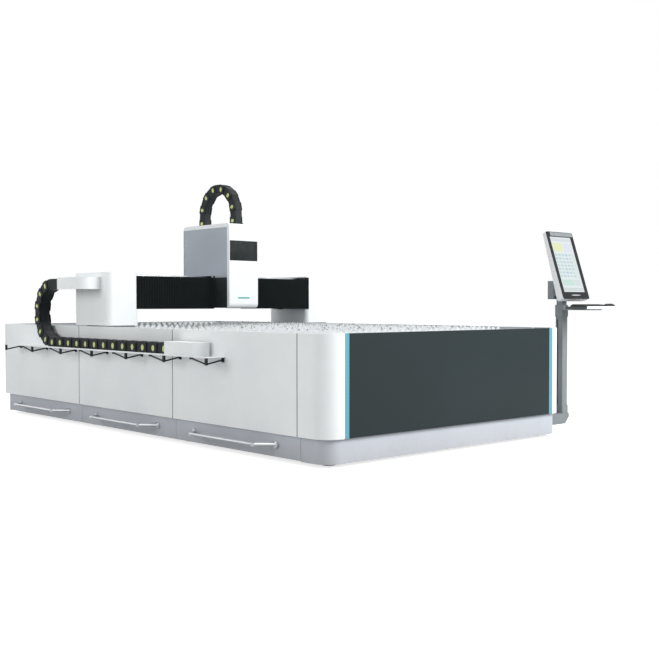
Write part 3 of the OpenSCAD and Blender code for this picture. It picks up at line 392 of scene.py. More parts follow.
# %% Screen page
LEAN = math.radians(18)
PANEL_FOOT = Vector((1.5, -2.243, 1.073))
up_glass = Vector((0.0, math.sin(LEAN), math.cos(LEAN)))
back_glass = Vector((0.0, math.cos(LEAN), -math.sin(LEAN)))

material, tree, shader, coords = blank("lit_screen_under_glass", "#454B4D", Coat_Weight=0.5,
                                       Emission_Strength=0.8)
flat = add(tree, "ShaderNodeMapping",
           {"Vector": coords, "Rotation": (LEAN, 0.0, 0.0),
            "Location": (-PANEL_FOOT.x, 0.0, -PANEL_FOOT.dot(up_glass))})
page = add(tree, "ShaderNodeSeparateXYZ", {0: flat.outputs[0]})
page_x, page_z = page.outputs[0], page.outputs[2]
rows = add(tree, "ShaderNodeCombineXYZ", {0: page_x, 1: page_z})
fields = add(tree, "ShaderNodeTexBrick",
             {"Vector": rows.outputs[0], "Color1": linear("#A9C6D6"), "Color2": linear("#BFDDD0"),
              "Mortar": linear("#DFE6E8"), "Scale": 1.0, "Mortar Size": 7 * MM, "Mortar Smooth": 0.1,
              "Bias": -0.1, "Brick Width": 46 * MM, "Row Height": 30 * MM}, offset=0.0)
PAGE = [  # middle across, middle up, half width, half height, colour; no colour means the fields
    (0.0, 0.505, 0.138, 0.012, "#D3D9DE"),
    (-0.070, 0.440, 0.062, 0.036, "#E3EBA8"),
    (0.070, 0.440, 0.060, 0.036, "#DEE0EC"),
    (-0.020, 0.285, 0.112, 0.105, None),
    (0.112, 0.285, 0.018, 0.105, "#D6E0DE"),
    (-0.045, 0.140, 0.080, 0.026, "#BFE0D2"),
    (0.082, 0.140, 0.040, 0.026, "#D2DADA"),
    (0.0, 0.082, 0.138, 0.014, "#CBD3D4"),
]
colour = linear("#E3E9EB")
for across, upward, half_w, half_h, shade in PAGE:
    inside = maths(tree, "MULTIPLY", maths(tree, "COMPARE", page_x, across, half_w),
                   maths(tree, "COMPARE", page_z, upward, half_h))
    colour = mix(tree, inside, colour, fields.outputs["Color"] if shade is None else linear(shade))
tree.links.new(colour, shader.inputs["Emission Color"])
smudge = ramp(tree, noise(tree, coords, 0.03, 3.0), 0.35, 0.7, 0.08, 0.2)
tree.links.new(smudge, shader.inputs["Roughness"])
finish["screen"] = material
print("screen page:", len(PAGE), "areas")

# %% Give every solid its finish
for node in cad.values():
    for holder in node.material_slots:
        holder.material = finish[holder.material.name.split(".")[0]]
# the tray under the keyboard has a darker coat than the rest of the console
charcoal = powder_coat("charcoal_powder_coat", "#3C4245", "#343A3C", dusty=False)
cad["keyboard_tray"].material_slots[0].material = charcoal
print("dressed", len(cad), "solids in", len(finish), "finishes")

# %% [markdown]
# ## Pieces in mesh code and in Geometry Nodes
# A piece that is made once is drawn with bmesh. A piece that repeats is grown by a Geometry Nodes tree
# from a line of points. The tree ends in Realize Instances and Set Material, and the grown result is
# turned into a plain mesh before it is hung on its body, because an export keeps no instances.

# %% Mesh helpers
def keep(name, bm, material=None):
    """An object at the origin from a bmesh, with its normals outward and its material on."""
    bmesh.ops.recalc_face_normals(bm, faces=bm.faces)
    mesh = bpy.data.meshes.new(name)
    bm.to_mesh(mesh)
    bm.free()
    if material:
        mesh.materials.append(material)
    return placed(name, mesh)


def wall(bm, ring_a, ring_b):
    """Faces all the way round between two rings of points; returns them."""
    faces = []
    for i in range(len(ring_a)):
        j = (i + 1) % len(ring_a)
        faces.append(bm.faces.new((ring_a[i], ring_a[j], ring_b[j], ring_b[i])))
    return faces


def slab(bm, ring_a, ring_b):
    """A closed body between two rings of points; returns its faces."""
    return [bm.faces.new(ring_a[::-1]), bm.faces.new(ring_b)] + wall(bm, ring_a, ring_b)


def draw_out(bm, outline, x0, x1):
    """A flat outline in Y and Z, drawn out along X; returns its faces."""
    return slab(bm, [bm.verts.new((x0, y, z)) for y, z in outline],
                [bm.verts.new((x1, y, z)) for y, z in outline])


def block(y0, y1, z0, z1, cut=0.0):
    """The outline of a rectangle in Y and Z with its corners cut off."""
    if not cut:
        return [(y0, z0), (y1, z0), (y1, z1), (y0, z1)]
    return [(y0 + cut, z0), (y1 - cut, z0), (y1, z0 + cut), (y1, z1 - cut),
            (y1 - cut, z1), (y0 + cut, z1), (y0, z1 - cut), (y0, z0 + cut)]


def around(count):
    """Angles once round a circle."""
    return [2 * math.pi * k / count for k in range(count)]


print("mesh helpers ready")


# %% Tree helpers
def new_tree(name, **inputs):
    """An empty geometry tree with named inputs; returns it, its input sockets and its output socket."""
    tree = bpy.data.node_groups.new(name, "GeometryNodeTree")
    tree.interface.new_socket("Geometry", in_out="INPUT", socket_type="NodeSocketGeometry")
    for label, kind in inputs.items():
        tree.interface.new_socket(label, in_out="INPUT", socket_type="NodeSocket" + kind)
    tree.interface.new_socket("Geometry", in_out="OUTPUT", socket_type="NodeSocketGeometry")
    return tree, add(tree, "NodeGroupInput").outputs, add(tree, "NodeGroupOutput").inputs[0]


def joined(tree, *parts):
    """Several geometries as one, in this order."""
    node = add(tree, "GeometryNodeJoinGeometry")
    for part in parts:
        tree.links.new(part, node.inputs[0])
    return node.outputs[0]


def painted(tree, geometry, material, where=True):
    """Geometry with a material set on the faces that where picks."""
    return add(tree, "GeometryNodeSetMaterial",
               {"Geometry": geometry, "Selection": where, "Material": material}).outputs[0]


def stored(tree, name, kind="FLOAT_VECTOR"):
    """A value that is stored on the mesh."""
    return add(tree, "GeometryNodeInputNamedAttribute", {"Name": name}, data_type=kind).outputs[0]


def planted(tree, places, instance, feeds):
    """An instance on every point, as real mesh."""
    laid = add(tree, "GeometryNodeInstanceOnPoints", {"Points": places, "Instance": instance, **feeds})
    return add(tree, "GeometryNodeRealizeInstances", {0: laid.outputs[0]}).outputs[0]


def points(name, places, edges=(), facing=None):
    """Points, or a line through them, for a tree to grow on."""
    mesh = bpy.data.meshes.new(name)
    mesh.from_pydata([tuple(p) for p in places], list(edges), [])
    if facing is not None:
        attribute = mesh.attributes.new("facing", "FLOAT_VECTOR", "POINT")
        attribute.data.foreach_set("vector", np.array(facing, np.float32).ravel())
    return placed(name, mesh)


def grow(piece, tree, **values):
    """Grows the tree on the piece and keeps the result as a plain mesh."""
    modifier = piece.modifiers.new(tree.name, "NODES")
    modifier.node_group = tree
    for item in tree.interface.items_tree:
        if item.in_out == "INPUT" and item.name in values:
            modifier[item.identifier] = values[item.name]
    graph = bpy.context.evaluated_depsgraph_get()
    mesh = bpy.data.meshes.new_from_object(piece.evaluated_get(graph), depsgraph=graph)
    piece.modifiers.remove(modifier)
    piece.data = mesh
    mesh.name = piece.name
    print(piece.name, len(mesh.vertices), "points", len(mesh.polygons), "faces")
    return piece


print("tree helpers ready")

# %% [markdown]
# ## Drag chains
# A drag chain is a row of moulded links: outer links and inner links take turns, each with two side
# plates and a lid above and below, so the chain bends one way only. Yellow-green inserts sit in the
# outer plates. One tree lays both kinds of link along any path, and the turn of each link comes from
# the path's own direction.

# %% Chain tree
tree, given, result = new_tree("chain_links", Links="Int", First="Object", Second="Object",
                               Body="Material", Insert="Material")
line = add(tree, "GeometryNodeMeshToCurve", {"Mesh": given["Geometry"]})
line = add(tree, "GeometryNodeResampleCurve", {"Curve": line.outputs[0], "Count": given["Links"]},
           mode="COUNT")
way = add(tree, "GeometryNodeInputTangent")
turned = add(tree, "FunctionNodeAlignRotationToVector", {"Vector": way.outputs[0]},
             axis="Y", pivot_axis="X")
kinds = [add(tree, "GeometryNodeObjectInfo", {"Object": given[which], "As Instance": True})
         for which in ("First", "Second")]
pair = joined(tree, *(kind.outputs["Geometry"] for kind in kinds))
number = add(tree, "GeometryNodeInputIndex")
links = planted(tree, line.outputs[0], pair,
                {"Pick Instance": True, "Instance Index": maths(tree, "MODULO", number.outputs[0], 2.0),
                 "Rotation": turned.outputs[0]})
body = painted(tree, links, given["Body"])
tree.links.new(painted(tree, body, given["Insert"], stored(tree, "insert", "BOOLEAN")), result)
chain_tree = tree
print("chain tree:", len(tree.nodes), "nodes")

# %% Link shapes
patterns = []


def link(name, pitch, height, width, outer):
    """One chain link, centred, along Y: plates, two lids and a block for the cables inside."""
    bm = bmesh.new()
    half, tall, plate = pitch / 2, height / 2, 0.06 * width
    if outer:
        face, reach, cover = width / 2, half + 0.14 * pitch, half + 0.15 * pitch
        lift, tuck = 0.0, 0.0
    else:  # an inner link fits between the outer plates and under their lids
        face, reach, cover = width / 2 - plate - 0.5 * MM, half + 0.02 * pitch, half + 0.04 * pitch
        lift, tuck = 0.015 * height, 0.025 * height
    marks = []
    for side in (-1, 1):
        ends = sorted((side * face, side * (face - plate)))
        draw_out(bm, block(-reach, reach, -tall + lift, tall - lift, 0.1 * height), *ends)
        if outer:
            ring = [(0.25 * pitch * math.cos(a), 0.26 * height * math.sin(a)) for a in around(14)]
            marks += draw_out(bm, ring, *sorted((side * (face - 1.0 * MM), side * (face + 1.2 * MM))))
    inner = width / 2 - 2 * plate
    for z in (-1, 1):
        low, high = sorted((z * (tall - tuck - 0.01 * height), z * (tall - tuck - 0.10 * height)))
        draw_out(bm, block(-cover, cover, low, high), -inner, inner)
    core = tall - 0.16 * height
    draw_out(bm, block(-half, half, -core, core), -inner * 0.9, inner * 0.9)
    bm.faces.index_update()
    numbers = [spot.index for spot in marks]
    piece = keep(name, bm)
    flag = piece.data.attributes.new("insert", "BOOLEAN", "FACE")
    for i in numbers:
        flag.data[i].value = True
    patterns.append(piece)
    return piece


def link_pair(kind, pitch, height, width):
    """An outer and an inner link of one size."""
    return (link(kind + "_outer_link", pitch, height, width, True),
            link(kind + "_inner_link", pitch, height, width, False))


def arc(centre, radius, start, stop, count, fixed_x):
    """Points on an arc in the YZ plane, angles in degrees from +Y."""
    y, z = centre
    return [(fixed_x, y + radius * math.cos(math.radians(a)), z + radius * math.sin(math.radians(a)))
            for a in np.linspace(start, stop, count)]


def strand(name, places, links, pair):
    """Links along a path, as one plain mesh."""
    piece = points(name, places, [(i, i + 1) for i in range(len(places) - 1)])
    grow(piece, chain_tree, Links=links, First=pair[0], Second=pair[1],
         Body=finish["chain_nylon"], Insert=chain_insert)
    return piece


print("link shapes ready")

# %% [markdown]
# The bridge's own chain lies in a tray on the bed's left side, climbs round a half-circle bend and
# runs back under a shroud on the bridge. Its bend moves half as far as the bridge, so the bend rides on
# its own body. Plain links lead into the shroud; the ones it hides at rest are stowed close together.
# The bend is drawn a little tighter than its circle, so that no link corner meets the shroud.

# %% Bridge chain
GC_X, GC_BEND_Y, GC_BEND_Z = -1.335, 1.106, 0.9581
GC_RADIUS, GC_PITCH, GC_HEIGHT, GC_WIDTH = 0.250, 0.073, 0.087, 0.110
LOW_LINKS, BEND_LINKS, HIGH_LINKS, STOWED_LINKS = 27, 13, 2, 12
STOWED_PITCH, CORNER_ROOM = 0.027, 0.0035
low_z, high_z, half = GC_BEND_Z - GC_RADIUS, GC_BEND_Z + GC_RADIUS, GC_PITCH / 2

big_outer, big_inner = link_pair("big", GC_PITCH, GC_HEIGHT, GC_WIDTH)
low_start = GC_BEND_Y - LOW_LINKS * GC_PITCH
ends = [(GC_X, low_start + half, low_z), (GC_X, GC_BEND_Y - half, low_z)]
chain_low = strand("bridge_chain_low", ends, LOW_LINKS, (big_inner, big_outer))
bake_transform(chain_low)
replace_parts(chain_low, "gantry_chain_lower")

step, bend_pitch = 180 / BEND_LINKS, math.pi * GC_RADIUS / BEND_LINKS
bend_path = arc((GC_BEND_Y, GC_BEND_Z), GC_RADIUS - CORNER_ROOM, -90 + step / 2, 90 - step / 2, 60, GC_X)
chain_bend = strand("bridge_chain_bend", bend_path, BEND_LINKS,
                    link_pair("bend", bend_pitch, GC_HEIGHT, GC_WIDTH))
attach(chain_bend, "chain_loop")
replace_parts(chain_bend, "gantry_chain_loop")

stowed_pair = link_pair("stowed", STOWED_PITCH, GC_HEIGHT, GC_WIDTH)
for name, y, count, pitch, pair in (
        ("bridge_chain_high", GC_BEND_Y, HIGH_LINKS, GC_PITCH, (big_inner, big_inner)),
        ("bridge_chain_stowed", GC_BEND_Y - HIGH_LINKS * GC_PITCH, STOWED_LINKS, STOWED_PITCH,
         stowed_pair)):
    ends = [(GC_X, y - pitch / 2, high_z), (GC_X, y - count * pitch + pitch / 2, high_z)]
    chain_high = strand(name, ends, count, pair)
    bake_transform(chain_high)
    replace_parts(chain_high, "gantry_chain_upper")

# %% [markdown]
# The head's chain stands up as a loop on top of the cover: out of one clamp, over a half circle and
# into a second clamp. It feeds the head through the cover and keeps its shape, so it rides as one.

# %% Head loop
HL_Y, HL_Z, HL_RADIUS, HL_LEG, HL_SECTION = 0.536, 1.837, 0.236, 0.095, 0.080
HL_LINKS = 15
CLAMP_Y, CLAMP_X, CLAMP_RISE, CLAMP_CUT = 0.044, 0.046, 0.012, 0.003
loop_pitch = (math.pi * HL_RADIUS + 2 * HL_LEG) / HL_LINKS
small_outer, small_inner = link_pair("small", loop_pitch, HL_SECTION, HL_SECTION)
foot_z = HL_Z - HL_LEG
leg_start = foot_z + loop_pitch / 2
loop_path = [(0.0, HL_Y + HL_RADIUS, leg_start), *arc((HL_Y, HL_Z), HL_RADIUS, 0, 180, 60, 0.0),
             (0.0, HL_Y - HL_RADIUS, leg_start)]
head_loop = strand("head_chain_loop", loop_path, HL_LINKS, (small_inner, small_outer))
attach(head_loop, "carriage")
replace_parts(head_loop, "head_chain")

clamps = bmesh.new()
for y in (HL_Y - HL_RADIUS, HL_Y + HL_RADIUS):
    draw_out(clamps, block(y - CLAMP_Y, y + CLAMP_Y, foot_z, foot_z + CLAMP_RISE, CLAMP_CUT),
             -CLAMP_X, CLAMP_X)
clamps = keep("head_loop_clamps", clamps, finish["chain_nylon"])
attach(clamps, "carriage")

# %% [markdown]
# A third, smaller chain lies behind the bridge and feeds the head as it runs from side to side. The
# same tree grows it along Y, and the finished mesh is then turned to lie along X.

# %% Chain behind the bridge
BC_X, BC_Z, BC_RADIUS, BC_Y = 0.400, 1.162, 0.090, 0.864
BC_PITCH, BC_HEIGHT, BC_WIDTH, BC_LINKS, BC_BEND_LINKS = 0.044, 0.050, 0.060, 10, 6
RUN_SPAN, BEND_MIDDLE, BEND_SPAN = 0.7, 0.46, 5.0  # spans along X for the runs and the bend
slim_pair = link_pair("slim", BC_PITCH, BC_HEIGHT, BC_WIDTH)
along_x = Matrix.Translation((0, BC_Y, 0)) @ Matrix.Rotation(math.radians(-90), 4, "Z")
step, half = 180 / BC_BEND_LINKS, BC_PITCH / 2
near, far = BC_X - half, BC_X - BC_LINKS * BC_PITCH + half
under, over = BC_Z - BC_RADIUS, BC_Z + BC_RADIUS
RUNS = [  # name, path, links, X that stays with the bridge, X that goes with the head
    ("beam_chain_low", [(0, far, under), (0, near, under)], BC_LINKS, BC_X - RUN_SPAN, BC_X + RUN_SPAN),
    ("beam_chain_bend", arc((BC_X, BC_Z), BC_RADIUS, -90 + step / 2, 90 - step / 2, 40, 0.0),
     BC_BEND_LINKS, BEND_MIDDLE - BEND_SPAN, BEND_MIDDLE + BEND_SPAN),
    ("beam_chain_high", [(0, near, over), (0, far, over)], BC_LINKS, BC_X + RUN_SPAN, BC_X - RUN_SPAN),
]
for name, places, count, still, moving in RUNS:
    piece = strand(name, places, count, slim_pair)
    piece.data.transform(along_x)
    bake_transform(piece)
    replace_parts(piece, "beam_chain")
for pattern in patterns:
    bpy.data.objects.remove(pattern)

# %% [markdown]
# ## Bellows
# Pleated covers keep sparks off the bridge's rails on both sides of the head. A pleat is a rule, not a
# shape: every other crease stands forward. So a tree makes a flat grid with two columns to each
# fold, pushes every other column back, and gives the cloth its thickness.

# %% Pleat tree
tree, given, result = new_tree("pleated_cover", Length="Float", Height="Float", Depth="Float",
                               Folds="Int", Thickness="Float", Cloth="Material")
sheet = add(tree, "GeometryNodeMeshGrid",
            {"Size X": given["Length"], "Size Y": given["Height"], "Vertices Y": 2,
             "Vertices X": maths(tree, "MULTIPLY_ADD", given["Folds"], 2.0, 1.0)})
place = add(tree, "GeometryNodeInputPosition")
across = add(tree, "ShaderNodeSeparateXYZ", {0: place.outputs[0]}).outputs[0]
share = maths(tree, "ADD", maths(tree, "DIVIDE", across, given["Length"]), 0.5)
column = maths(tree, "MULTIPLY", share, maths(tree, "MULTIPLY", given["Folds"], 2.0))
odd = maths(tree, "MODULO", maths(tree, "ROUND", column), 2.0)
push = add(tree, "ShaderNodeCombineXYZ", {2: maths(tree, "MULTIPLY", odd, given["Depth"])})
folded = add(tree, "GeometryNodeSetPosition",
             {"Geometry": sheet.outputs["Mesh"], "Offset": push.outputs[0]}).outputs[0]
thick = add(tree, "ShaderNodeCombineXYZ", {2: given["Thickness"]})
front = add(tree, "GeometryNodeExtrudeMesh",
            {"Mesh": folded, "Offset": thick.outputs[0], "Offset Scale": 1.0, "Individual": False},
            mode="FACES")
rear = add(tree, "GeometryNodeFlipFaces", {0: folded})
shell = joined(tree, front.outputs["Mesh"], rear.outputs[0])
welded = add(tree, "GeometryNodeMergeByDistance", {"Geometry": shell, "Distance": 0.01 * MM})
real = add(tree, "GeometryNodeRealizeInstances", {0: welded.outputs[0]})
tree.links.new(painted(tree, real.outputs[0], given["Cloth"]), result)
pleat_tree = tree
print("pleat tree:", len(tree.nodes), "nodes")

# %% Two bellows
B_INNER, B_OUTER, B_LOW, B_HIGH, B_FRONT = 0.151, 0.995, 0.992, 1.270, 0.4172
FOLDS, FOLD_DEPTH, CLOTH = 34, 0.018, 0.0014
upright = Matrix.Rotation(math.radians(90), 4, "X")  # grid Y becomes up, grid Z becomes forward
for side, name in ((-1, "left_bellows"), (1, "right_bellows")):
    piece = points(name + "_pleats", [(0, 0, 0)])
    grow(piece, pleat_tree, Length=B_OUTER - B_INNER, Height=B_HIGH - B_LOW, Depth=FOLD_DEPTH,
         Folds=FOLDS, Thickness=CLOTH, Cloth=finish["bellows_cloth"])
    middle = (side * (B_INNER + B_OUTER) / 2, B_FRONT + FOLD_DEPTH + CLOTH, (B_LOW + B_HIGH) / 2)
    piece.data.transform(Matrix.Translation(middle) @ upright)
    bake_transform(piece)
    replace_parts(piece, name)

# %% [markdown]
# Each cover ends in a frame at the head. The frame is an angle of black nylon: one leg holds the pleats,
# the other lies on the head's side. That leg is painted shade: its black carries the dark band of the
# shaded lower head side on to the front.

# %% End frames
SHADE_PLATE_IN, SHADE_PLATE_OUT, LEG_END = 0.1542, 0.1558, 0.184  # distances from the head's middle
SHADE_PLATE_FRONT, LEG_FRONT, LEG_BACK = 0.2235, 0.4146, 0.4164
frames_and_shade_plates = bmesh.new()
for side in (-1, 1):
    draw_out(frames_and_shade_plates, block(LEG_FRONT, LEG_BACK, B_LOW + 2 * MM, B_HIGH - 2 * MM),
             *sorted((side * SHADE_PLATE_OUT, side * LEG_END)))
    # the plate on the head's side is painted shade: a black sheet where the head's side lies in shade
    draw_out(frames_and_shade_plates, block(SHADE_PLATE_FRONT, LEG_FRONT, B_LOW + 8 * MM, B_HIGH - 2 * MM),
             *sorted((side * SHADE_PLATE_IN, side * SHADE_PLATE_OUT)))
end_frames_and_shade_plates = keep("bellows_end_frames", frames_and_shade_plates, frame_and_shade_plate_black)
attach(end_frames_and_shade_plates, "carriage")
print("end frames:", len(end_frames_and_shade_plates.data.polygons), "faces")

# %% [markdown]
# ## Screws
# Panels, rails and covers are held by round-headed screws with a hexagon socket. The tree builds one
# head from a short cone and a dark six-sided disc on its top, painted shade for the socket's hollow,
# and sets it on every point, turned to the way that the point faces.

# %% Screw tree
PIT_DEPTH = 0.0004
tree, given, result = new_tree("screw_heads", Diameter="Float", Rise="Float", Metal="Material",
                               Pit="Material")
radius, crown, socket = (maths(tree, "MULTIPLY", given["Diameter"], part) for part in (0.5, 0.36, 0.25))
head = add(tree, "GeometryNodeMeshCone",
           {"Vertices": 14, "Radius Top": crown, "Radius Bottom": radius, "Depth": given["Rise"]})
raised = add(tree, "ShaderNodeCombineXYZ", {2: given["Rise"]})
# the socket is a dark disc, painted shade for its hollow
pit = add(tree, "GeometryNodeMeshCylinder", {"Vertices": 6, "Radius": socket, "Depth": PIT_DEPTH})
pit = add(tree, "GeometryNodeTransform", {"Geometry": pit.outputs[0], "Translation": raised.outputs[0]})
whole = joined(tree, painted(tree, head.outputs[0], given["Metal"]),
               painted(tree, pit.outputs[0], given["Pit"]))
turned = add(tree, "FunctionNodeAlignRotationToVector", {"Vector": stored(tree, "facing")}, axis="Z")
spots = add(tree, "GeometryNodeMeshToPoints", {"Mesh": given["Geometry"]})
tree.links.new(planted(tree, spots.outputs[0], whole, {"Rotation": turned.outputs[0]}), result)
screw_tree = tree


def screws(name, body, spots, diameter=10.0, rise=3.0, metal=None):
    """Screw heads at (place, facing) spots, sizes in millimetres."""
    piece = points(name, [s[0] for s in spots], facing=[s[1] for s in spots])
    # the socket disc takes the dark blued steel as painted shade
    grow(piece, screw_tree, Diameter=diameter * MM, Rise=rise * MM, Metal=metal or screw_zinc,
         Pit=finish["rod_black"])
    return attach(piece, body)


print("screw tree:", len(tree.nodes), "nodes")

# %% Screws on bed and bridge
BACKWARD, UPWARD = (0, 1, 0), (0, 0, 1)
REAR_FACE, DUCT_Z, DUCT_RING = 2.300, 0.400, 0.155
spots = [((x, REAR_FACE, z), BACKWARD) for x in np.linspace(-1.2, 1.2, 9) for z in (0.225, 0.805)]
spots += [((DUCT_RING * math.cos(a), REAR_FACE, DUCT_Z + DUCT_RING * math.sin(a)), BACKWARD)
          for a in around(8)]
screws("rear_panel_screws", "bed", spots, diameter=9, rise=2.2)

RAIL_X, RAIL_TOP, BOLT_GAP = 1.140, 0.814, 0.12
spots = [((side * RAIL_X, y, RAIL_TOP), UPWARD) for side in (-1, 1)
         for y in np.arange(-2.10, 2.11, BOLT_GAP)]
screws("rail_bolt_heads", "bed", spots, diameter=9, rise=0.8, metal=finish["ground_steel"])

deck_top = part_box("deck_plates")[1].z
spots = [((x, y, deck_top), UPWARD) for x in (-0.92, -0.31, 0.31, 0.92)
         for y in (-2.160, -2.010, 1.360, 2.160)]
screws("deck_screws", "bed", spots, diameter=10, rise=1.6)

COLUMN_BACK = 0.990
spots = [((side * x, COLUMN_BACK, z), BACKWARD) for side in (-1, 1) for x in (0.985, 1.160)
         for z in (0.890, 1.250)]
screws("column_cover_screws", "gantry", spots, metal=finish["white_paint"],
       diameter=10, rise=2.4)

# %% [markdown]
# ## Seam strips
# Side panels hang on hooks, so no screw shows on them. Where two of them meet, a rubber strip is pressed
# into the gap, which is what draws the thin dark lines down the bed's sides.

# %% Rubber strips in the seams
SEAMS = [-2.023, -0.590, 0.843]
SEAM_IN, SEAM_OUT, SEAM_HALF, SEAM_LOW, SEAM_HIGH = 1.2530, 1.2556, 0.0030, 0.186, 0.846
strips = bmesh.new()
for side in (-1, 1):
    for y in SEAMS:
        draw_out(strips, block(y - SEAM_HALF, y + SEAM_HALF, SEAM_LOW, SEAM_HIGH, 1 * MM),
                 *sorted((side * SEAM_IN, side * SEAM_OUT)))
seam_strips = keep("side_seam_strips", strips, rubber_and_slot_shade)
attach(seam_strips, "bed")
print("seam strips:", 2 * len(SEAMS))

# %% [markdown]
# ## Console
# The operator's panel leans back in a black frame. The frame is one ring: an outer rounded rectangle
# and the opening for the glass, joined face to face and given a thickness, so its corners stay clean.

# %% Bezel
def on_panel(across, upward, proud=0.0):
    """A point on the panel's front: metres across, up the glass and proud of it."""
    return PANEL_FOOT + Vector((across, 0, 0)) + up_glass * upward - back_glass * proud


def panel_loop(bm, outline, proud):
    """A ring of points on the panel's front."""
    return [bm.verts.new(on_panel(a, u, proud)) for a, u in outline]


def rounded(half_w, low, high, radius, steps=5):
    """A rounded rectangle round the panel's middle, as (across, upward) points."""
    outline = []
    for cx, cz, start in ((half_w - radius, low + radius, -90), (half_w - radius, high - radius, 0),
                          (-half_w + radius, high - radius, 90), (-half_w + radius, low + radius, 180)):
        for k in range(steps + 1):
            a = math.radians(start + 90 * k / steps)
            outline.append((cx + radius * math.cos(a), cz + radius * math.sin(a)))
    return outline


# half width, lower edge, upper edge and corner radius
RIM, OPENING = (0.1795, 0.0005, 0.5715, 0.014), (0.1435, 0.0585, 0.5295, 0.004)
RIM_PROUD, OPENING_PROUD, SUNK = 0.004, 0.0025, -0.0005
bezel = bmesh.new()
loops = [panel_loop(bezel, rounded(*shape), proud) for shape, proud in (
    (RIM, SUNK), (RIM, RIM_PROUD), (OPENING, OPENING_PROUD), (OPENING, SUNK))]
for ring_a, ring_b in zip(loops, loops[1:] + loops[:1]):
    wall(bezel, ring_a, ring_b)
bezel = keep("monitor_bezel", bezel, bezel_black)
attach(bezel, "monitor")


def panel_plate(name, outline, proud_low, proud_high, material):
    """A small flat plate on the bezel."""
    bm = bmesh.new()
    slab(bm, panel_loop(bm, outline, proud_low), panel_loop(bm, outline, proud_high))
    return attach(keep(name, bm, material), "monitor")


OVAL_HALF_W, OVAL_HALF_H, OVAL_UP, BAR_SHIFT, SEAT = 0.064, 0.0045, 0.031, 0.020, 0.003
oval = [(OVAL_HALF_W * math.cos(a), OVAL_UP + OVAL_HALF_H * math.sin(a)) for a in around(28)]
panel_plate("bezel_oval_key", oval, SEAT, 0.0048, finish["chrome"])
# a grey bar across the top of the black rim: painted highlight for the light along the bezel's top
bar = [(a + BAR_SHIFT, u) for a, u in rounded(0.153, 0.5345, 0.5675, 0.011, 4)]
panel_plate("bezel_top_bar", bar, SEAT, 0.0046, bezel_highlight_grey)
print("bezel:", len(bezel.data.polygons), "faces")

# %% [markdown]
# The keyboard is a slab with tapered keys in rows. Every key is the same four-sided cone with its
# point cut off. The vector stored on each point, which turns a screw, here says how wide a key is.

# %% Key tree
tree, given, result = new_tree("key_rows", Foot="Float", Top="Float", Rise="Float", Cap="Material")
corner = math.sqrt(0.5)  # a cone's radius runs to its corner, half the diagonal
cap = add(tree, "GeometryNodeMeshCone",
          {"Vertices": 4, "Radius Top": maths(tree, "MULTIPLY", given["Top"], corner),
           "Radius Bottom": maths(tree, "MULTIPLY", given["Foot"], corner), "Depth": given["Rise"]})
cap = add(tree, "GeometryNodeTransform",
          {"Geometry": cap.outputs[0], "Rotation": (0.0, 0.0, math.radians(45))})
spots = add(tree, "GeometryNodeMeshToPoints", {"Mesh": given["Geometry"]})
caps = planted(tree, spots.outputs[0], cap.outputs[0], {"Scale": stored(tree, "facing")})
tree.links.new(painted(tree, caps, given["Cap"]), result)
key_tree = tree
print("key tree:", len(tree.nodes), "nodes")

# %% Keyboard keys
KEY, ROW, ROWS, COLUMNS = 0.019, 0.0215, 6, 19
BLOCK_COLUMN, BLOCK_GAP, TOP_ROW_GAP = 15, 0.006, 0.004  # the number block and the top row stand apart
SPACE_COLUMN, SPACE_KEYS, GAP_SHARE = 4, 6, 0.12  # the space bar takes six keys and their gaps
LEFT_ROOM, FRONT_ROOM, BOARD_TOP = 0.0095, 0.014, 0.017
board_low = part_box("keyboard")[0]
slope = math.tan(math.radians(4))
spots, widths = [], []
for row in range(ROWS):
    y = board_low.y + FRONT_ROOM + row * ROW + (TOP_ROW_GAP if row == ROWS - 1 else 0.0)
    z = board_low.z + BOARD_TOP + (y - board_low.y) * slope
    x = board_low.x + LEFT_ROOM
    for column in range(COLUMNS):
        if column == BLOCK_COLUMN:
            x += BLOCK_GAP
        if row == 0 and SPACE_COLUMN < column < SPACE_COLUMN + SPACE_KEYS:
            continue
        count = SPACE_KEYS if row == 0 and column == SPACE_COLUMN else 1
        spots.append((x + count * KEY / 2, y, z))
        widths.append((count + (count - 1) * GAP_SHARE, 1.0, 1.0))
        x += count * KEY
keys = points("keyboard_keys", spots, facing=widths)
grow(keys, key_tree, Foot=0.0168, Top=0.0132, Rise=0.0065, Cap=finish["key_black"])
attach(keys, "console")

# %% [markdown]
# The tray under the keyboard is coated charcoal, and a white edge is pushed over its front, so the front
# reads white and the side dark. The edge is a U in section and wraps a little over and under the tray.

# %% Tray edge
tray_low, tray_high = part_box("keyboard_tray")
front_y, tray_base, tray_top = tray_low.y, tray_low.z, tray_high.z
LIP, ROOM, WRAP_UNDER, WRAP_OVER = 1.6 * MM, 0.2 * MM, 14 * MM, 4.2 * MM
edge_outline = [(front_y + WRAP_UNDER, tray_base - LIP), (front_y - LIP, tray_base - LIP),
                (front_y - LIP, tray_top + LIP), (front_y + WRAP_OVER, tray_top + LIP),
                (front_y + WRAP_OVER, tray_top + ROOM), (front_y - ROOM, tray_top + ROOM),
                (front_y - ROOM, tray_base - ROOM), (front_y + WRAP_UNDER, tray_base - ROOM)]
edging = bmesh.new()
draw_out(edging, edge_outline, tray_low.x, tray_high.x)
edging = keep("keyboard_tray_edge", edging, finish["monitor_white"])
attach(edging, "console")
print("tray edge", round(tray_high.x - tray_low.x, 3), "m long")

# %% [markdown]
# The mouse is a low shell that swells towards the palm. It is lofted from oval rings that shrink and
# shift as they climb, and smoothed by one subdivision. Its wheel is a piece of its own, so it catches
# its own light.

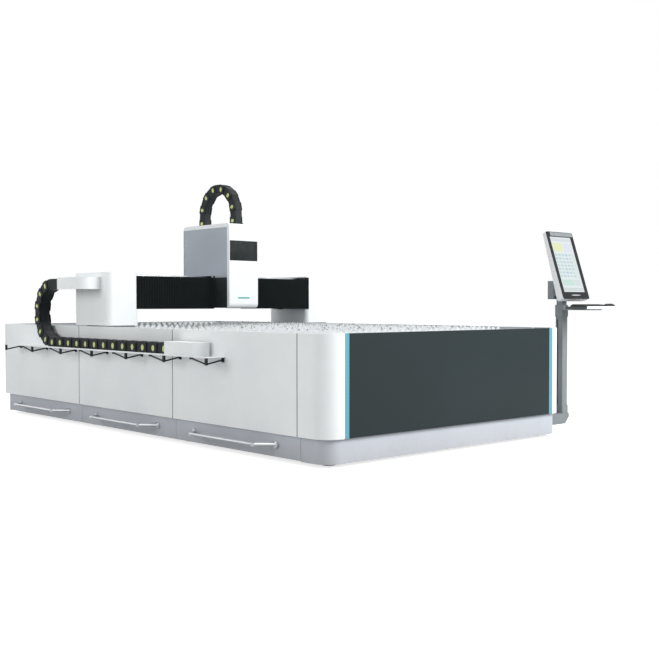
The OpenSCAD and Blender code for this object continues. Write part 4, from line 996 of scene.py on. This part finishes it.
# %% Mouse
RINGS = [  # share of the height, of the width and of the length, shift towards the palm
    (0.00, 0.97, 0.97, 0.0), (0.16, 1.0, 1.0, 0.0), (0.42, 0.97, 0.96, 0.0), (0.68, 0.86, 0.84, 0.02),
    (0.88, 0.64, 0.60, 0.05), (0.98, 0.32, 0.30, 0.08)]
MOUSE_HALF_W, MOUSE_HALF_L = 0.032, 0.056
mouse_low, mouse_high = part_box("mouse")
centre = (mouse_low + mouse_high) / 2
shell = bmesh.new()
loops = []
for rise, wide_by, long_by, shift in RINGS:
    z = mouse_low.z + rise * (mouse_high.z - mouse_low.z)
    ring = []
    for a in around(20):
        c, s = math.cos(a), math.sin(a)
        x = centre.x + MOUSE_HALF_W * wide_by * math.copysign(abs(c) ** 0.75, c)
        y = centre.y + MOUSE_HALF_L * (long_by * math.copysign(abs(s) ** 0.8, s) - shift)
        ring.append(shell.verts.new((x, y, z)))
    loops.append(ring)
for ring_a, ring_b in zip(loops, loops[1:]):
    wall(shell, ring_a, ring_b)
shell.faces.new(loops[0])
shell.faces.new(loops[-1])
mouse = keep("mouse_shell", shell, finish["key_black"])
mouse.data.polygons.foreach_set("use_smooth", [True] * len(mouse.data.polygons))
smooth = mouse.modifiers.new("smooth", "SUBSURF")
smooth.levels = smooth.render_levels = 1
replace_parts(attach(mouse, "console"), "mouse")

WHEEL_RADIUS, WHEEL_HALF, WHEEL_AHEAD, WHEEL_RISE = 0.0095, 0.0035, 0.030, 0.0265
wheel = bmesh.new()
ring = [(centre.y + WHEEL_AHEAD + WHEEL_RADIUS * math.cos(a),
         mouse_low.z + WHEEL_RISE + WHEEL_RADIUS * math.sin(a)) for a in around(20)]
draw_out(wheel, ring, centre.x - WHEEL_HALF, centre.x + WHEEL_HALF)
wheel = keep("mouse_wheel", wheel, rubber_and_slot_shade)
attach(wheel, "console")
print("mouse:", len(RINGS), "rings and a wheel")

# %% [markdown]
# The pole is a grey extrusion; a dark strip fills its long slot as painted shade for the slot's hollow,
# and the head's front carries a slim teal marker bar. Both are thin trim, made here and seated on the
# solid that carries them.

# %% Slot shade strip and marker bar
SLOT_FRONT, SLOT_BACK, SLOT_LOW, SLOT_HIGH = -2.0918, -2.0782, 0.222, 0.905
SLOT_FACE, SLOT_FLOOR = 1.4655, 1.4705  # the slot opens to the left
# the dark strip fills the slot: painted shade for its hollow
strip = bmesh.new()
draw_out(strip, block(SLOT_FRONT, SLOT_BACK, SLOT_LOW, SLOT_HIGH, 2 * MM), SLOT_FACE, SLOT_FLOOR)
strip = keep("pole_slot_strip", strip, rubber_and_slot_shade)
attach(strip, "bed")

BAR_HALF, BAR_END, BAR_Z, BAR_BACK, BAR_FRONT = 0.059, 0.006, 1.089, 0.1883, 0.1862
outline = []
for sign in (1, -1):
    for a in np.radians(np.linspace(-90, 90, 9)):
        across, upward = BAR_HALF + BAR_END * math.cos(a), BAR_END * math.sin(a)
        outline.append((sign * across, BAR_Z + sign * upward))
marker = bmesh.new()
slab(marker, *([marker.verts.new((x, y, z)) for x, z in outline] for y in (BAR_BACK, BAR_FRONT)))
marker = keep("head_marker_bar", marker, teal_bar)
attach(marker, "carriage")
print("marker bar", round(2 * (BAR_HALF + BAR_END), 3), "m long")
